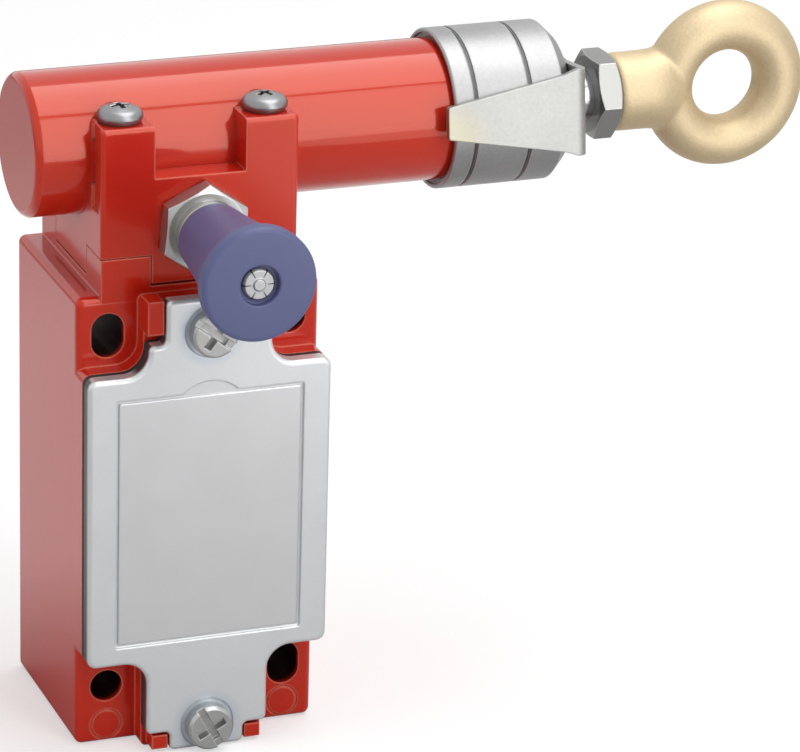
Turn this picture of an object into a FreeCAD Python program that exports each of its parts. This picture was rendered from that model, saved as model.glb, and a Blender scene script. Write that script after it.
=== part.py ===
import FreeCAD, Part
import Sketcher
import math
import os

# Rope pull switch, in millimetres.
# The origin is the centre of the fixing-hole pattern on the back face.
# +X points along the pull rope, the cover faces -Y, and +Z is up.

doc = FreeCAD.newDocument("rope_pull_switch")
sheet = doc.addObject("Spreadsheet::Sheet", "sizes")
origin = FreeCAD.Vector(0, 0, 0)
turn_onto = {
    "x": FreeCAD.Rotation(FreeCAD.Vector(0, 1, 0), 90),
    "y": FreeCAD.Rotation(FreeCAD.Vector(1, 0, 0), -90),
    "z": FreeCAD.Rotation(),
}


class Size:
    """A length that keeps both its number and the expression that gives it."""

    def __init__(self, value, text):
        self.value = value
        self.text = text

    def join(self, other, sign, value):
        right = other.text if isinstance(other, Size) else repr(float(other))
        return Size(value, f"({self.text} {sign} {right})")

    def __add__(self, other):
        return self.join(other, "+", self.value + number(other))

    def __sub__(self, other):
        return self.join(other, "-", self.value - number(other))

    def __mul__(self, other):
        return self.join(other, "*", self.value * number(other))

    def __truediv__(self, other):
        return self.join(other, "/", self.value / number(other))

    def __radd__(self, other):
        return as_size(other) + self

    def __rsub__(self, other):
        return as_size(other) - self

    def __rmul__(self, other):
        return as_size(other) * self

    def __neg__(self):
        return Size(-self.value, f"(0 - {self.text})")


def number(size):
    return size.value if isinstance(size, Size) else float(size)


def as_size(size):
    return size if isinstance(size, Size) else Size(float(size), repr(float(size)))


def root(size):
    return Size(math.sqrt(size.value), f"sqrt({size.text})")


rows_used = 0


def dim(name, value):
    """Puts one driving dimension into the sheet and returns it as a Size."""
    global rows_used
    rows_used += 1
    sheet.set(f"A{rows_used}", name)
    sheet.set(f"B{rows_used}", str(value))
    sheet.setAlias(f"B{rows_used}", name)
    return Size(float(value), f"sizes.{name}")


# Driving dimensions: housing
housing_width = dim("housing_width", 40.0)
pad_depth = dim("pad_depth", 33.0)
seat_step = dim("seat_step", 3.0)
housing_below = dim("housing_below", 40.0)
housing_above = dim("housing_above", 36.3)
housing_wall = dim("housing_wall", 3.5)
back_wall = dim("back_wall", 3.0)
housing_edge = dim("housing_edge", 1.2)
fixing_spread_x = dim("fixing_spread_x", 30.0)
fixing_spread_z = dim("fixing_spread_z", 60.0)
fixing_radius = dim("fixing_radius", 2.65)
fixing_slot = dim("fixing_slot", 7.3)
entry_radius = dim("entry_radius", 9.25)
entry_depth = dim("entry_depth", 9.5)
deck_step = dim("deck_step", 1.2)
block_height = dim("block_height", 6.1)
block_width = dim("block_width", 8.1)
block_depth = dim("block_depth", 7.7)
lug_rise = dim("lug_rise", 3.0)
lug_width = dim("lug_width", 2.6)
pin_mark_radius = dim("pin_mark_radius", 2.7)
pin_mark_depth = dim("pin_mark_depth", 0.2)
pin_mark_line = dim("pin_mark_line", 0.35)
pin_mark_edge = dim("pin_mark_edge", 0.5)
lug_gap = dim("lug_gap", 0.3)
lug_edge = dim("lug_edge", 0.5)
lug_lift = dim("lug_lift", 1.2)
overshoot = dim("overshoot", 1.0)
thread_run_out = dim("thread_run_out", 0.5)
hole_allowance = dim("hole_allowance", 0.25)

# Driving dimensions: cover, gasket and label
shoulder_top = dim("shoulder_top", 24.95)
shoulder_bottom = dim("shoulder_bottom", 23.9)
neck_half = dim("neck_half", 10.1)
neck_corner = dim("neck_corner", 3.9)
outer_corner = dim("outer_corner", 1.5)
gasket_thick = dim("gasket_thick", 1.1)
gasket_inset = dim("gasket_inset", 0.05)
gasket_land = dim("gasket_land", 2.2)
cover_thick = dim("cover_thick", 2.4)
cover_edge = dim("cover_edge", 0.7)
top_neck_end = dim("top_neck_end", 29.8)
top_tab_half = dim("top_tab_half", 7.4)
top_tab_end = dim("top_tab_end", 37.0)
bottom_neck_end = dim("bottom_neck_end", 36.7)
bottom_tab_half = dim("bottom_tab_half", 6.2)
bottom_tab_end = dim("bottom_tab_end", 39.95)
tab_corner = dim("tab_corner", 0.9)
recess_half = dim("recess_half", 15.5)
recess_top = dim("recess_top", 21.3)
recess_bottom = dim("recess_bottom", 20.8)
recess_depth = dim("recess_depth", 0.5)
recess_corner = dim("recess_corner", 0.4)
notch_radius = dim("notch_radius", 6.5)
notch_rise = dim("notch_rise", 1.9)
label_thick = dim("label_thick", 0.3)
label_margin = dim("label_margin", 0.5)
cover_screw_top = dim("cover_screw_top", 31.5)
cover_screw_bottom = dim("cover_screw_bottom", 35.8)
cover_screw_radius = dim("cover_screw_radius", 1.95)
cover_screw_length = dim("cover_screw_length", 10.4)
cover_head_radius = dim("cover_head_radius", 3.75)
cover_head_height = dim("cover_head_height", 2.6)
cover_head_edge = dim("cover_head_edge", 0.4)
cover_slot_depth = dim("cover_slot_depth", 0.9)
screw_clearance = dim("screw_clearance", 0.1)
dimple_margin = dim("dimple_margin", 0.6)
dimple_depth = dim("dimple_depth", 0.2)

# Driving dimensions: head
head_width = dim("head_width", 32.2)
axis_depth = dim("axis_depth", 17.0)
head_rise = dim("head_rise", 6.4)
rear_rise = dim("rear_rise", 4.4)
head_edge = dim("head_edge", 0.7)
head_gasket_thick = dim("head_gasket_thick", 0.4)
valley_half = dim("valley_half", 7.4)
valley_wall = dim("valley_wall", 2.95)
block_gap = dim("block_gap", 0.15)
flank_groove = dim("flank_groove", 0.4)
flank_groove_inset = dim("flank_groove_inset", 3.2)
flank_groove_half = dim("flank_groove_half", 1.8)
flank_groove_rise = dim("flank_groove_rise", 7.2)
head_screw_x = dim("head_screw_x", 11.8)
head_screw_reach = dim("head_screw_reach", 11.6)
rear_screw_reach = dim("rear_screw_reach", 12.2)
head_screw_gap = dim("head_screw_gap", 0.1)
head_screw_edge = dim("head_screw_edge", 4.4)
head_screw_radius = dim("head_screw_radius", 1.75)
head_screw_tip = dim("head_screw_tip", 35.2)
head_head_radius = dim("head_head_radius", 3.65)
head_head_height = dim("head_head_height", 2.7)
chamber_gap = dim("chamber_gap", 1.8)
chamber_depth = dim("chamber_depth", 15.0)
chamber_floor = dim("chamber_floor", 3.2)
latch_room_half = dim("latch_room_half", 7.6)
front_wall = dim("front_wall", 2.2)
latch_clearance = dim("latch_clearance", 0.4)
head_gasket_margin = dim("head_gasket_margin", 1.0)

# Driving dimensions: barrel, ring, shaft and cam
barrel_rise = dim("barrel_rise", 19.17)
barrel_radius = dim("barrel_radius", 11.5)
barrel_wall = dim("barrel_wall", 2.5)
barrel_left = dim("barrel_left", 25.07)
barrel_end_wall = dim("barrel_end_wall", 1.5)
barrel_chamfer = dim("barrel_chamfer", 1.1)
barrel_end_round = dim("barrel_end_round", 1.6)
saddle_clearance = dim("saddle_clearance", 0.02)
ring_left = dim("ring_left", 43.65)
ring_length = dim("ring_length", 20.65)
ring_wall = dim("ring_wall", 1.5)
ring_overlap = dim("ring_overlap", 12.55)
ring_end_wall = dim("ring_end_wall", 3.7)
ring_chamfer = dim("ring_chamfer", 2.0)
ring_left_chamfer = dim("ring_left_chamfer", 0.3)
ring_lip = dim("ring_lip", 0.8)
fitting_gap = dim("fitting_gap", 0.1)
groove_width = dim("groove_width", 0.7)
groove_depth = dim("groove_depth", 0.45)
first_groove = dim("first_groove", 3.3)
second_groove = dim("second_groove", 12.7)
gland_radius = dim("gland_radius", 5.5)
gland_length = dim("gland_length", 2.4)
wiper_inset = dim("wiper_inset", 0.2)
window_gap = dim("window_gap", 0.7)
rod_radius = dim("rod_radius", 4.0)
running_clearance = dim("running_clearance", 0.05)
stroke = dim("stroke", 15.0)
stop_gap = dim("stop_gap", 0.3)
cam_slope = dim("cam_slope", 0.25)
cam_waist = dim("cam_waist", 4.6)
cam_clearance = dim("cam_clearance", 0.1)
cam_lead = dim("cam_lead", 0.75)
cam_left_gap = dim("cam_left_gap", 0.4)
cam_land_length = dim("cam_land_length", 5.2)
cam_shaft_radius = dim("cam_shaft_radius", 3.0)
cross_pin_radius = dim("cross_pin_radius", 0.9)
cross_pin_inset = dim("cross_pin_inset", 0.4)
shaft_point = dim("shaft_point", 0.6)
seat_clearance = dim("seat_clearance", 0.4)
seat_thick = dim("seat_thick", 1.5)
main_wire = dim("main_wire", 0.8)
main_coil_clearance = dim("main_coil_clearance", 0.9)
main_turns = dim("main_turns", 9.0)
spring_gap = dim("spring_gap", 0.05)

# Driving dimensions: pointer bracket, nut and eye
sheet_thick = dim("sheet_thick", 1.2)
pointer_gap = dim("pointer_gap", 0.3)
pointer_tip = dim("pointer_tip", 41.8)
pointer_tip_half = dim("pointer_tip_half", 2.65)
pointer_shoulder = dim("pointer_shoulder", 4.0)
pointer_shoulder_half = dim("pointer_shoulder_half", 6.25)
pointer_half = dim("pointer_half", 7.0)
pointer_bend = dim("pointer_bend", 1.9)
pointer_tip_round = dim("pointer_tip_round", 0.4)
swivel_angle = dim("swivel_angle", -7.5)
washer_radius = dim("washer_radius", 6.7)
washer_thick = dim("washer_thick", 1.4)
nut_left = dim("nut_left", 71.2)
nut_thick = dim("nut_thick", 4.0)
nut_flats = dim("nut_flats", 13.0)
eye_neck_radius = dim("eye_neck_radius", 6.45)
eye_neck_chamfer = dim("eye_neck_chamfer", 0.6)
eye_centre = dim("eye_centre", 20.5)
eye_major = dim("eye_major", 9.9)
eye_minor = dim("eye_minor", 4.15)
eye_hole = dim("eye_hole", 5.95)
thread_engagement = dim("thread_engagement", 9.0)

# Driving dimensions: pins, contacts and contact block
pull_pin_margin = dim("pull_pin_margin", 2.2)
slack_pin_margin = dim("slack_pin_margin", 0.9)
nose_radius = dim("nose_radius", 2.5)
nose_gap = dim("nose_gap", 0.1)
nose_length = dim("nose_length", 3.5)
stem_radius = dim("stem_radius", 1.5)
stem_end = dim("stem_end", 17.0)
pin_seal_radius = dim("pin_seal_radius", 2.6)
pin_seal_height = dim("pin_seal_height", 1.6)
carrier_half_x = dim("carrier_half_x", 2.4)
carrier_half_y = dim("carrier_half_y", 3.4)
carrier_top = dim("carrier_top", 20.0)
carrier_bottom = dim("carrier_bottom", 8.0)
bridge_top = dim("bridge_top", 12.0)
bridge_thick = dim("bridge_thick", 0.8)
bridge_half_x = dim("bridge_half_x", 4.9)
bridge_half_y = dim("bridge_half_y", 1.6)
contact_gap = dim("contact_gap", 0.1)
strip_thick = dim("strip_thick", 1.2)
strip_half = dim("strip_half", 1.6)
strip_offset = dim("strip_offset", 4.4)
strip_drop = dim("strip_drop", 10.5)
channel_half_x = dim("channel_half_x", 5.2)
channel_half_y = dim("channel_half_y", 4.2)
contact_block_gap = dim("contact_block_gap", 0.7)
block_front = dim("block_front", 30.0)
block_top = dim("block_top", 19.5)
block_bottom = dim("block_bottom", -14.0)
block_floor = dim("block_floor", 4.0)
terminal_radius = dim("terminal_radius", 1.2)
terminal_head = dim("terminal_head", 1.8)
terminal_head_height = dim("terminal_head_height", 1.4)
terminal_length = dim("terminal_length", 6.5)
block_screw_radius = dim("block_screw_radius", 1.3)
block_screw_head = dim("block_screw_head", 2.4)
block_screw_head_height = dim("block_screw_head_height", 1.8)
block_screw_sink = dim("block_screw_sink", 2.2)
block_screw_edge = dim("block_screw_edge", 0.5)
block_screw_tip = dim("block_screw_tip", 1.2)
earth_gap = dim("earth_gap", 2.1)
earth_z = dim("earth_z", -17.4)
earth_boss = dim("earth_boss", 2.9)
earth_boss_height = dim("earth_boss_height", 3.6)
earth_screw_inset = dim("earth_screw_inset", 0.4)
contact_wire = dim("contact_wire", 0.3)
contact_coil = dim("contact_coil", 1.7)
contact_turns = dim("contact_turns", 7.0)

# Driving dimensions: reset knob
knob_overlap = dim("knob_overlap", 1.18)
bushing_radius = dim("bushing_radius", 5.3)
bushing_out = dim("bushing_out", 6.3)
bushing_bore = dim("bushing_bore", 4.0)
bushing_shoulder = dim("bushing_shoulder", 1.3)
bushing_chamfer = dim("bushing_chamfer", 0.5)
stud_seal_thick = dim("stud_seal_thick", 1.2)
reset_nut_flats = dim("reset_nut_flats", 13.0)
reset_nut_thick = dim("reset_nut_thick", 3.5)
stud_radius = dim("stud_radius", 2.0)
knob_gap = dim("knob_gap", 1.3)
knob_length = dim("knob_length", 21.2)
knob_neck = dim("knob_neck", 6.1)
knob_disc = dim("knob_disc", 9.15)
knob_skirt = dim("knob_skirt", 2.8)
knob_skirt_gap = dim("knob_skirt_gap", 0.15)
knob_rim = dim("knob_rim", 1.6)
knob_rim_round = dim("knob_rim_round", 0.8)
knob_recess = dim("knob_recess", 3.25)
knob_recess_depth = dim("knob_recess_depth", 1.2)
rivet_radius = dim("rivet_radius", 2.6)
rivet_height = dim("rivet_height", 0.7)
nub_radius = dim("nub_radius", 1.05)
nub_height = dim("nub_height", 0.3)
reset_seat_radius = dim("reset_seat_radius", 3.8)
reset_seat_thick = dim("reset_seat_thick", 1.1)
reset_wire = dim("reset_wire", 0.35)
reset_coil = dim("reset_coil", 3.2)
reset_turns = dim("reset_turns", 5.0)
latch_thick = dim("latch_thick", 1.2)
latch_half = dim("latch_half", 3.5)
latch_drop = dim("latch_drop", 4.85)
latch_reach = dim("latch_reach", 3.3)
latch_tongue_half = dim("latch_tongue_half", 6.6)

# Places worked out from the driving dimensions
seat_depth = pad_depth + seat_step
housing_half = housing_width / 2
fixing_x = fixing_spread_x / 2
fixing_z = fixing_spread_z / 2
gasket_front = -(seat_depth + gasket_thick)
cover_front = gasket_front - cover_thick
cavity_half = housing_half - housing_wall
cavity_top = shoulder_top - housing_wall
cavity_bottom = -(shoulder_bottom - housing_wall)
neck_cavity_half = neck_half - housing_wall / 2
entry_floor = entry_depth - housing_below
axis_y = -axis_depth
head_half = head_width / 2
head_half_depth = head_screw_reach + head_screw_edge
head_back = axis_y + head_half_depth
head_front = axis_y - head_half_depth
deck_top = housing_above + deck_step
head_base = deck_top + head_gasket_thick
floor_top = head_base + chamber_floor
block_top_z = housing_above + block_height
barrel_height = head_base + barrel_rise
head_top = barrel_height + head_rise
rear_top = barrel_height + rear_rise
knob_drop = barrel_radius - knob_overlap
knob_height = barrel_height - knob_drop
valley_height = knob_height + bushing_radius + valley_wall
block_half_x = cavity_half - contact_block_gap
strip_reach = strip_offset + strip_half
pull_pin_x = pull_pin_margin + strip_reach - block_half_x
slack_pin_x = block_half_x - strip_reach - slack_pin_margin
chamber_half = slack_pin_x + nose_radius + chamber_gap
earth_x = earth_boss + earth_gap - cavity_half
barrel_bore = barrel_radius - barrel_wall
ring_radius = barrel_radius + ring_wall
cam_land = barrel_bore - cam_clearance
cam_bottom = pull_pin_x + cam_lead
seat_radius = barrel_bore - seat_clearance
main_coil = barrel_bore - main_wire - main_coil_clearance
barrel_inner_left = barrel_end_wall - barrel_left
ring_right = ring_left + ring_length
ring_inner = ring_right - ring_end_wall
barrel_right = ring_left + ring_overlap
cam_left = barrel_inner_left + cam_left_gap
cam_crest = cam_bottom + (cam_land - cam_waist) / cam_slope
cam_right = cam_crest + cam_land_length
seat_left = cam_right + fitting_gap
seat_right = seat_left + seat_thick
plate_left = ring_right + stop_gap
plate_right = plate_left + sheet_thick
nut_right = nut_left + nut_thick
eye_x = nut_right + eye_centre
shaft_right = nut_right + thread_engagement
slope_length = root(cam_slope * cam_slope + 1)
nose_offset = (nose_radius + nose_gap) * slope_length
pull_nose_z = barrel_height - (cam_waist + cam_slope * (cam_bottom - pull_pin_x) + nose_offset)
slack_nose_z = barrel_height - (cam_waist + cam_slope * (slack_pin_x - cam_bottom) + nose_offset)
bushing_front = head_front - bushing_out
bushing_back = head_front + front_wall
knob_back = bushing_front - knob_gap
knob_front = knob_back - knob_length
stud_top = knob_drop - stud_radius
latch_back = axis_y - root(barrel_radius * barrel_radius - stud_top * stud_top) - latch_clearance
reset_seat_y = latch_back - latch_thick
latch_room = axis_y - latch_back
latch_high = barrel_height - root(barrel_radius * barrel_radius - latch_room * latch_room) - latch_clearance
latch_low = knob_height - latch_drop

parts = []


def keep(piece, label):
    """Names a finished sub-part, so that it is checked and written."""
    piece.Label = label
    parts.append(piece)
    return piece


def bind(thing, **sizes):
    """Binds properties of an object to sizes."""
    for name, size in sizes.items():
        thing.setExpression(name, as_size(size).text)
        setattr(thing, name, as_size(size).value)


def place(thing, x=0, y=0, z=0, turned=None):
    """Puts an object at a place given by sizes."""
    spot = [as_size(v) for v in (x, y, z)]
    corner = FreeCAD.Vector(*[s.value for s in spot])
    thing.Placement = FreeCAD.Placement(corner, turned or FreeCAD.Rotation())
    for letter, size in zip("xyz", spot):
        thing.setExpression(f"Placement.Base.{letter}", size.text)
    return thing


def box(name, x_span, y_span, z_span):
    """A block from its low and high place along each axis."""
    block = doc.addObject("Part::Box", name)
    bind(block, Length=x_span[1] - x_span[0], Width=y_span[1] - y_span[0], Height=z_span[1] - z_span[0])
    return place(block, x_span[0], y_span[0], z_span[0])


def along(axis, start, other):
    """The x, y and z of a round piece that starts at a place along its axis."""
    if axis == "x":
        return start, other[0], other[1]
    if axis == "y":
        return other[0], start, other[1]
    return other[0], other[1], start


def rod(name, axis, radius, span, centre):
    """A cylinder along an axis, from a low to a high place."""
    piece = doc.addObject("Part::Cylinder", name)
    bind(piece, Radius=radius, Height=span[1] - span[0])
    return place(piece, *along(axis, span[0], centre), turned=turn_onto[axis])


def hexagon(name, axis, flats, span, centre, spin=0):
    """A hexagonal prism along an axis; spin turns it about that axis."""
    piece = doc.addObject("Part::Prism", name)
    piece.Polygon = 6
    bind(piece, Circumradius=flats / math.sqrt(3), Height=span[1] - span[0])
    turn = turn_onto[axis].multiply(FreeCAD.Rotation(FreeCAD.Vector(0, 0, 1), spin))
    return place(piece, *along(axis, span[0], centre), turned=turn)


def joined(name, pieces):
    if len(pieces) == 1:
        return pieces[0]
    union = doc.addObject("Part::MultiFuse", name)
    union.Shapes = pieces
    return union


def cut_from(name, base, tools):
    result = doc.addObject("Part::Cut", name)
    result.Base = base
    result.Tool = joined(name + "_tools", tools)
    return result


def common(name, pieces):
    result = doc.addObject("Part::MultiCommon", name)
    result.Shapes = pieces
    return result


def group(name, pieces):
    """Loose solids kept together in one node."""
    result = doc.addObject("Part::Compound", name)
    result.Links = pieces
    return result


def softened(name, base, radius, wanted):
    """Rounds the edges of a base that a test picks out."""
    doc.recompute()
    chosen = [i + 1 for i, edge in enumerate(base.Shape.Edges) if wanted(edge)]
    result = doc.addObject("Part::Fillet", name)
    result.Base = base
    result.Edges = [(i, radius.value, radius.value) for i in chosen]
    return result


def runs_along(edge, letter):
    """Whether an edge is straight and parallel to an axis."""
    if edge.Curve.TypeId != "Part::GeomLine":
        return False
    return abs(abs(getattr(edge.Curve.Direction, letter)) - 1) < 1e-6


def middle(edge):
    return edge.BoundBox.Center


def plane_of(body, role):
    for feature in body.Origin.OriginFeatures:
        if feature.Role == role:
            return feature


def arc_between(start, end, radius, side):
    """An arc of a given radius; side is 1 when its centre is left of the way from start to end."""
    chord = end - start
    half = chord.Length / 2
    off = math.sqrt(max(radius * radius - half * half, 0.0))
    left = FreeCAD.Vector(-chord.y, chord.x, 0).normalize()
    centre = (start + end) * 0.5 + left * off * side
    bulge = (start + end) * 0.5 - centre
    if bulge.Length < 1e-9:
        bulge = left * -side
    middle_point = centre + bulge.normalize() * radius
    if side > 0:
        return Part.Arc(start, middle_point, end)
    return Part.Arc(end, middle_point, start)


def profile(body, role, corners):
    """A closed sketch. A corner is (across, up) or (across, up, radius, side) for an arc that ends there."""
    sketch = body.newObject("Sketcher::SketchObject", body.Name + "_profile")
    sketch.AttachmentSupport = [(plane_of(body, role), "")]
    sketch.MapMode = "FlatFace"
    places = [FreeCAD.Vector(number(c[0]), number(c[1]), 0) for c in corners]
    for i, corner in enumerate(corners):
        start = places[i - 1]
        if len(corner) == 4:
            sketch.addGeometry(arc_between(start, places[i], number(corner[2]), corner[3]), False)
        else:
            sketch.addGeometry(Part.LineSegment(start, places[i]), False)
    ends = []
    for i, corner in enumerate(corners):
        curve = sketch.Geometry[i]
        forward = (curve.EndPoint - places[i]).Length < (curve.StartPoint - places[i]).Length
        ends.append((1, 2) if forward else (2, 1))
    for i, corner in enumerate(corners):
        follower = (i + 1) % len(corners)
        sketch.addConstraint(Sketcher.Constraint("Coincident", i, ends[i][1], follower, ends[follower][0]))
        for kind, size in (("DistanceX", corner[0]), ("DistanceY", corner[1])):
            size = as_size(size)
            index = sketch.addConstraint(Sketcher.Constraint(kind, -1, 1, i, ends[i][1], size.value))
            if "sizes." in size.text:
                sketch.setExpression(f"Constraints[{index}]", size.text)
        if len(corner) == 4:
            size = as_size(corner[2])
            index = sketch.addConstraint(Sketcher.Constraint("Radius", i, size.value))
            if "sizes." in size.text:
                sketch.setExpression(f"Constraints[{index}]", size.text)
    return sketch


def plate(name, role, corners, thick):
    """A flat piece: a closed outline given a thickness along the plane's normal."""
    body = doc.addObject("PartDesign::Body", name)
    sketch = profile(body, role, corners)
    pad = body.newObject("PartDesign::Pad", name + "_pad")
    pad.Profile = sketch
    bind(pad, Length=thick)
    sketch.Visibility = False
    body.Tip = pad
    return body


turning_planes = {"x": "XY_Plane", "y": "YZ_Plane", "z": "XZ_Plane"}


def turned(name, axis, corners, centre):
    """A turned piece: a half section of (along the axis, radius) corners, swept round the axis."""
    body = doc.addObject("PartDesign::Body", name)
    if axis == "z":
        corners = [(c[1], c[0]) + tuple(c[2:]) for c in corners]
    sketch = profile(body, turning_planes[axis], corners)
    sweep = body.newObject("PartDesign::Revolution", name + "_turn")
    sweep.Profile = sketch
    sweep.ReferenceAxis = (sketch, ["V_Axis"] if axis == "z" else ["H_Axis"])
    sweep.Angle = 360
    sketch.Visibility = False
    body.Tip = sweep
    if axis == "x":
        return place(body, 0, centre[0], centre[1])
    if axis == "y":
        return place(body, centre[0], 0, centre[1])
    return place(body, centre[0], centre[1], 0)


def coil(name, axis, wire, radius, turns, span, centre):
    """A helical spring of round wire between two places along an axis."""
    length = span[1] - span[0] - wire * 2
    spine = doc.addObject("Part::Helix", name + "_spine")
    bind(spine, Radius=radius, Height=length, Pitch=length / turns)
    section = doc.addObject("Part::Circle", name + "_section")
    bind(section, Radius=wire)
    section.Placement = FreeCAD.Placement(origin, FreeCAD.Rotation(FreeCAD.Vector(1, 0, 0), 90))
    section.setExpression("Placement.Base.x", radius.text)
    doc.recompute()
    sweep = doc.addObject("Part::Sweep", name)
    sweep.Sections = [section]
    sweep.Spine = (spine, [f"Edge{i + 1}" for i in range(len(spine.Shape.Edges))])
    sweep.Solid = True
    sweep.Frenet = True
    return place(sweep, *along(axis, span[0] + wire, centre), turned=turn_onto[axis])


def flat_vector(across, up):
    return FreeCAD.Vector(number(across), number(up), 0)


def rounded(points):
    """Rounds the corners of an outline of level and upright edges. Each point is (across, up, radius)."""
    corners = []
    for i, (across, up, radius) in enumerate(points):
        before = points[i - 1]
        after = points[(i + 1) % len(points)]
        here = flat_vector(across, up)
        coming = (here - flat_vector(before[0], before[1])).normalize()
        going = (flat_vector(after[0], after[1]) - here).normalize()
        side = 1 if coming.cross(going).z > 0 else -1
        corners.append((across - radius * round(coming.x), up - radius * round(coming.y)))
        corners.append((across + radius * round(going.x), up + radius * round(going.y), radius, side))
    return corners


def cover_outline(grow, ends):
    """The cover's outline: wide in the middle, with a narrower neck and perhaps a tab at each end.

    The ends are lists of (half width, height) for the bottom and the top, from the neck outwards.
    """
    wide = housing_half + grow
    narrow = neck_half + grow
    upper = shoulder_top + grow
    lower = -(shoulder_bottom + grow)
    bottom = []
    for i, (half, height) in enumerate(ends[0]):
        bottom.insert(0, (-half, height, tab_corner))
        if i + 1 < len(ends[0]):
            bottom.insert(0, (-ends[0][i + 1][0], height, tab_corner))
    top = []
    for i, (half, height) in enumerate(ends[1]):
        top.append((-half, height, tab_corner))
        if i + 1 < len(ends[1]):
            top.append((-ends[1][i + 1][0], height, tab_corner))
    left = bottom + [
        (-narrow, lower, neck_corner),
        (-wide, lower, outer_corner),
        (-wide, upper, outer_corner),
        (-narrow, upper, neck_corner),
    ] + top
    right = [(-across, up, radius) for across, up, radius in reversed(left)]
    return rounded(left + right)


def side_span(near, far, side):
    """A span on the left (-1) or right (1) of the middle plane, low end first."""
    return (far * side, near * side) if side < 0 else (near * side, far * side)


def cross_recess(name, axis, half_length, half_width, depth, spot, spin, slots=()):
    """A cross-shaped cutter that reaches both ways from the middle of a screw head.

    Each slot is a further bar, as (half length, depth).
    """
    flat = (-depth, depth)
    bars = [box(name + "_bar", (-half_length, half_length), (-half_width, half_width), flat),
            box(name + "_bar", (-half_width, half_width), (-half_length, half_length), flat)]
    for half_slot, slot_depth in slots:
        bars.append(box(name + "_slot", (-half_slot, half_slot), (-half_width, half_width),
                        (-slot_depth, slot_depth)))
    cutter = joined(name + "_cross", bars)
    turn = turn_onto[axis].multiply(FreeCAD.Rotation(FreeCAD.Vector(0, 0, 1), spin))
    return place(cutter, *spot, turned=turn)


def screw_shank(seat, out, shank, length):
    """The half section of a screw from its tip to under its head."""
    tip = seat - length * out
    point = shank * 0.25
    return [
        (tip, 0),
        (tip, shank - point),
        (tip + point * out, shank),
        (seat, shank),
    ]


def flat_screw(name, axis, out, seat, centre, shank, length, head_radius, head_height, edge, slot_depth,
               spin):
    """A flat-head screw with a cross recess and a slot right across its head."""
    top = seat + head_height * out
    blank = turned(name + "_blank", axis, screw_shank(seat, out, shank, length) + [
        (seat, head_radius),
        (top - edge * out, head_radius),
        (top, head_radius - edge),
        (top, 0),
    ], centre)
    cutter = cross_recess(name, axis, head_radius * 0.68, head_radius * 0.17, head_height * 0.65,
                          along(axis, top, centre), spin, [(head_radius * 1.2, slot_depth)])
    return cut_from(name, blank, [cutter])


def screw(name, axis, out, seat, centre, shank, length, head_radius, head_height, spin=0):
    """A dome-head screw. out is the way its head points, seat the plane under the head."""
    crown = head_height * 0.18
    crown_radius = head_radius * 0.72
    cap = (crown_radius * crown_radius + crown * crown) / (crown * 2)
    side = -1 if axis != "z" and out > 0 else 1
    blank = turned(name + "_blank", axis, screw_shank(seat, out, shank, length) + [
        (seat, head_radius * 0.88),
        (seat + head_height * 0.36 * out, head_radius, head_height * 0.75, side),
        (seat + (head_height - crown) * out, crown_radius, head_height * 0.5, side),
        (seat + head_height * out, 0, cap, side),
    ], centre)
    top = seat + head_height * out
    cutter = cross_recess(name, axis, head_radius * 0.42, head_radius * 0.12, head_height * 0.5,
                          along(axis, top, centre), spin)
    return cut_from(name, blank, [cutter])


def ring_of(name, axis, outer, inner, span, centre):
    """A plain bush, washer or seal."""
    return cut_from(name, rod(name + "_disc", axis, outer, span, centre),
                    [rod(name + "_hole", axis, inner, (span[0] - overshoot, span[1] + overshoot), centre)])


def nut(name, axis, flats, bore, span, centre, spin):
    """A hexagon nut with its corners turned off at both ends."""
    corner = flats / math.sqrt(3)
    bevel = corner - flats * 0.485
    rise = bevel * 0.45
    turned_blank = turned(name + "_turned", axis, [
        (span[0], 0),
        (span[0], corner - bevel),
        (span[0] + rise, corner + 0.02),
        (span[1] - rise, corner + 0.02),
        (span[1], corner - bevel),
        (span[1], 0),
    ], centre)
    sides = hexagon(name + "_hexagon", axis, flats, span, centre, spin)
    body = common(name + "_body", [sides, turned_blank])
    bore_span = (span[0] - overshoot, span[1] + overshoot)
    return cut_from(name, body, [rod(name + "_bore", axis, bore, bore_span, centre)])


shaft_line = (axis_y, barrel_height)
knob_line = (as_size(0), knob_height)
reset_nut_turn = 34.5
lock_nut_turn = 33.5
earth_screw_turn = 20
pins = (
    ("pull", pull_pin_x, pull_nose_z, as_size(0)),
    ("slack", slack_pin_x, slack_nose_z, -(cam_slope * stroke)),
)
block_spots = [(sx, sy) for sx in (-1, 1) for sy in (-1, 1)]
cover_screw_tip = cover_front + cover_screw_length
strip_low = bridge_top + contact_gap
strip_high = strip_low + strip_thick
strip_foot = strip_high - strip_drop
terminal_z = strip_foot + strip_drop * 0.3
channel_low = block_bottom + block_floor
block_screw_x = (pull_pin_x + slack_pin_x) / 2
block_screw_inset = block_screw_head + block_screw_edge
block_screw_heights = (block_top - block_screw_inset, block_bottom + block_screw_inset)
block_screw_seat = block_screw_sink - block_front
earth_boss_front = -(back_wall + earth_boss_height)
bushing_shoulder_y = bushing_front + bushing_shoulder
stud_seal_back = bushing_shoulder_y + stud_seal_thick
reset_seat_front = reset_seat_y - reset_seat_thick
knob_floor = knob_front + knob_recess_depth


def head_screw_place(spot):
    """The centre of a head screw and the height of its seat. The rear pair sits lower."""
    reach, seat = (head_screw_reach, head_top) if spot[1] < 0 else (rear_screw_reach, rear_top)
    return (head_screw_x * spot[0], axis_y + reach * spot[1]), seat


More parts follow.
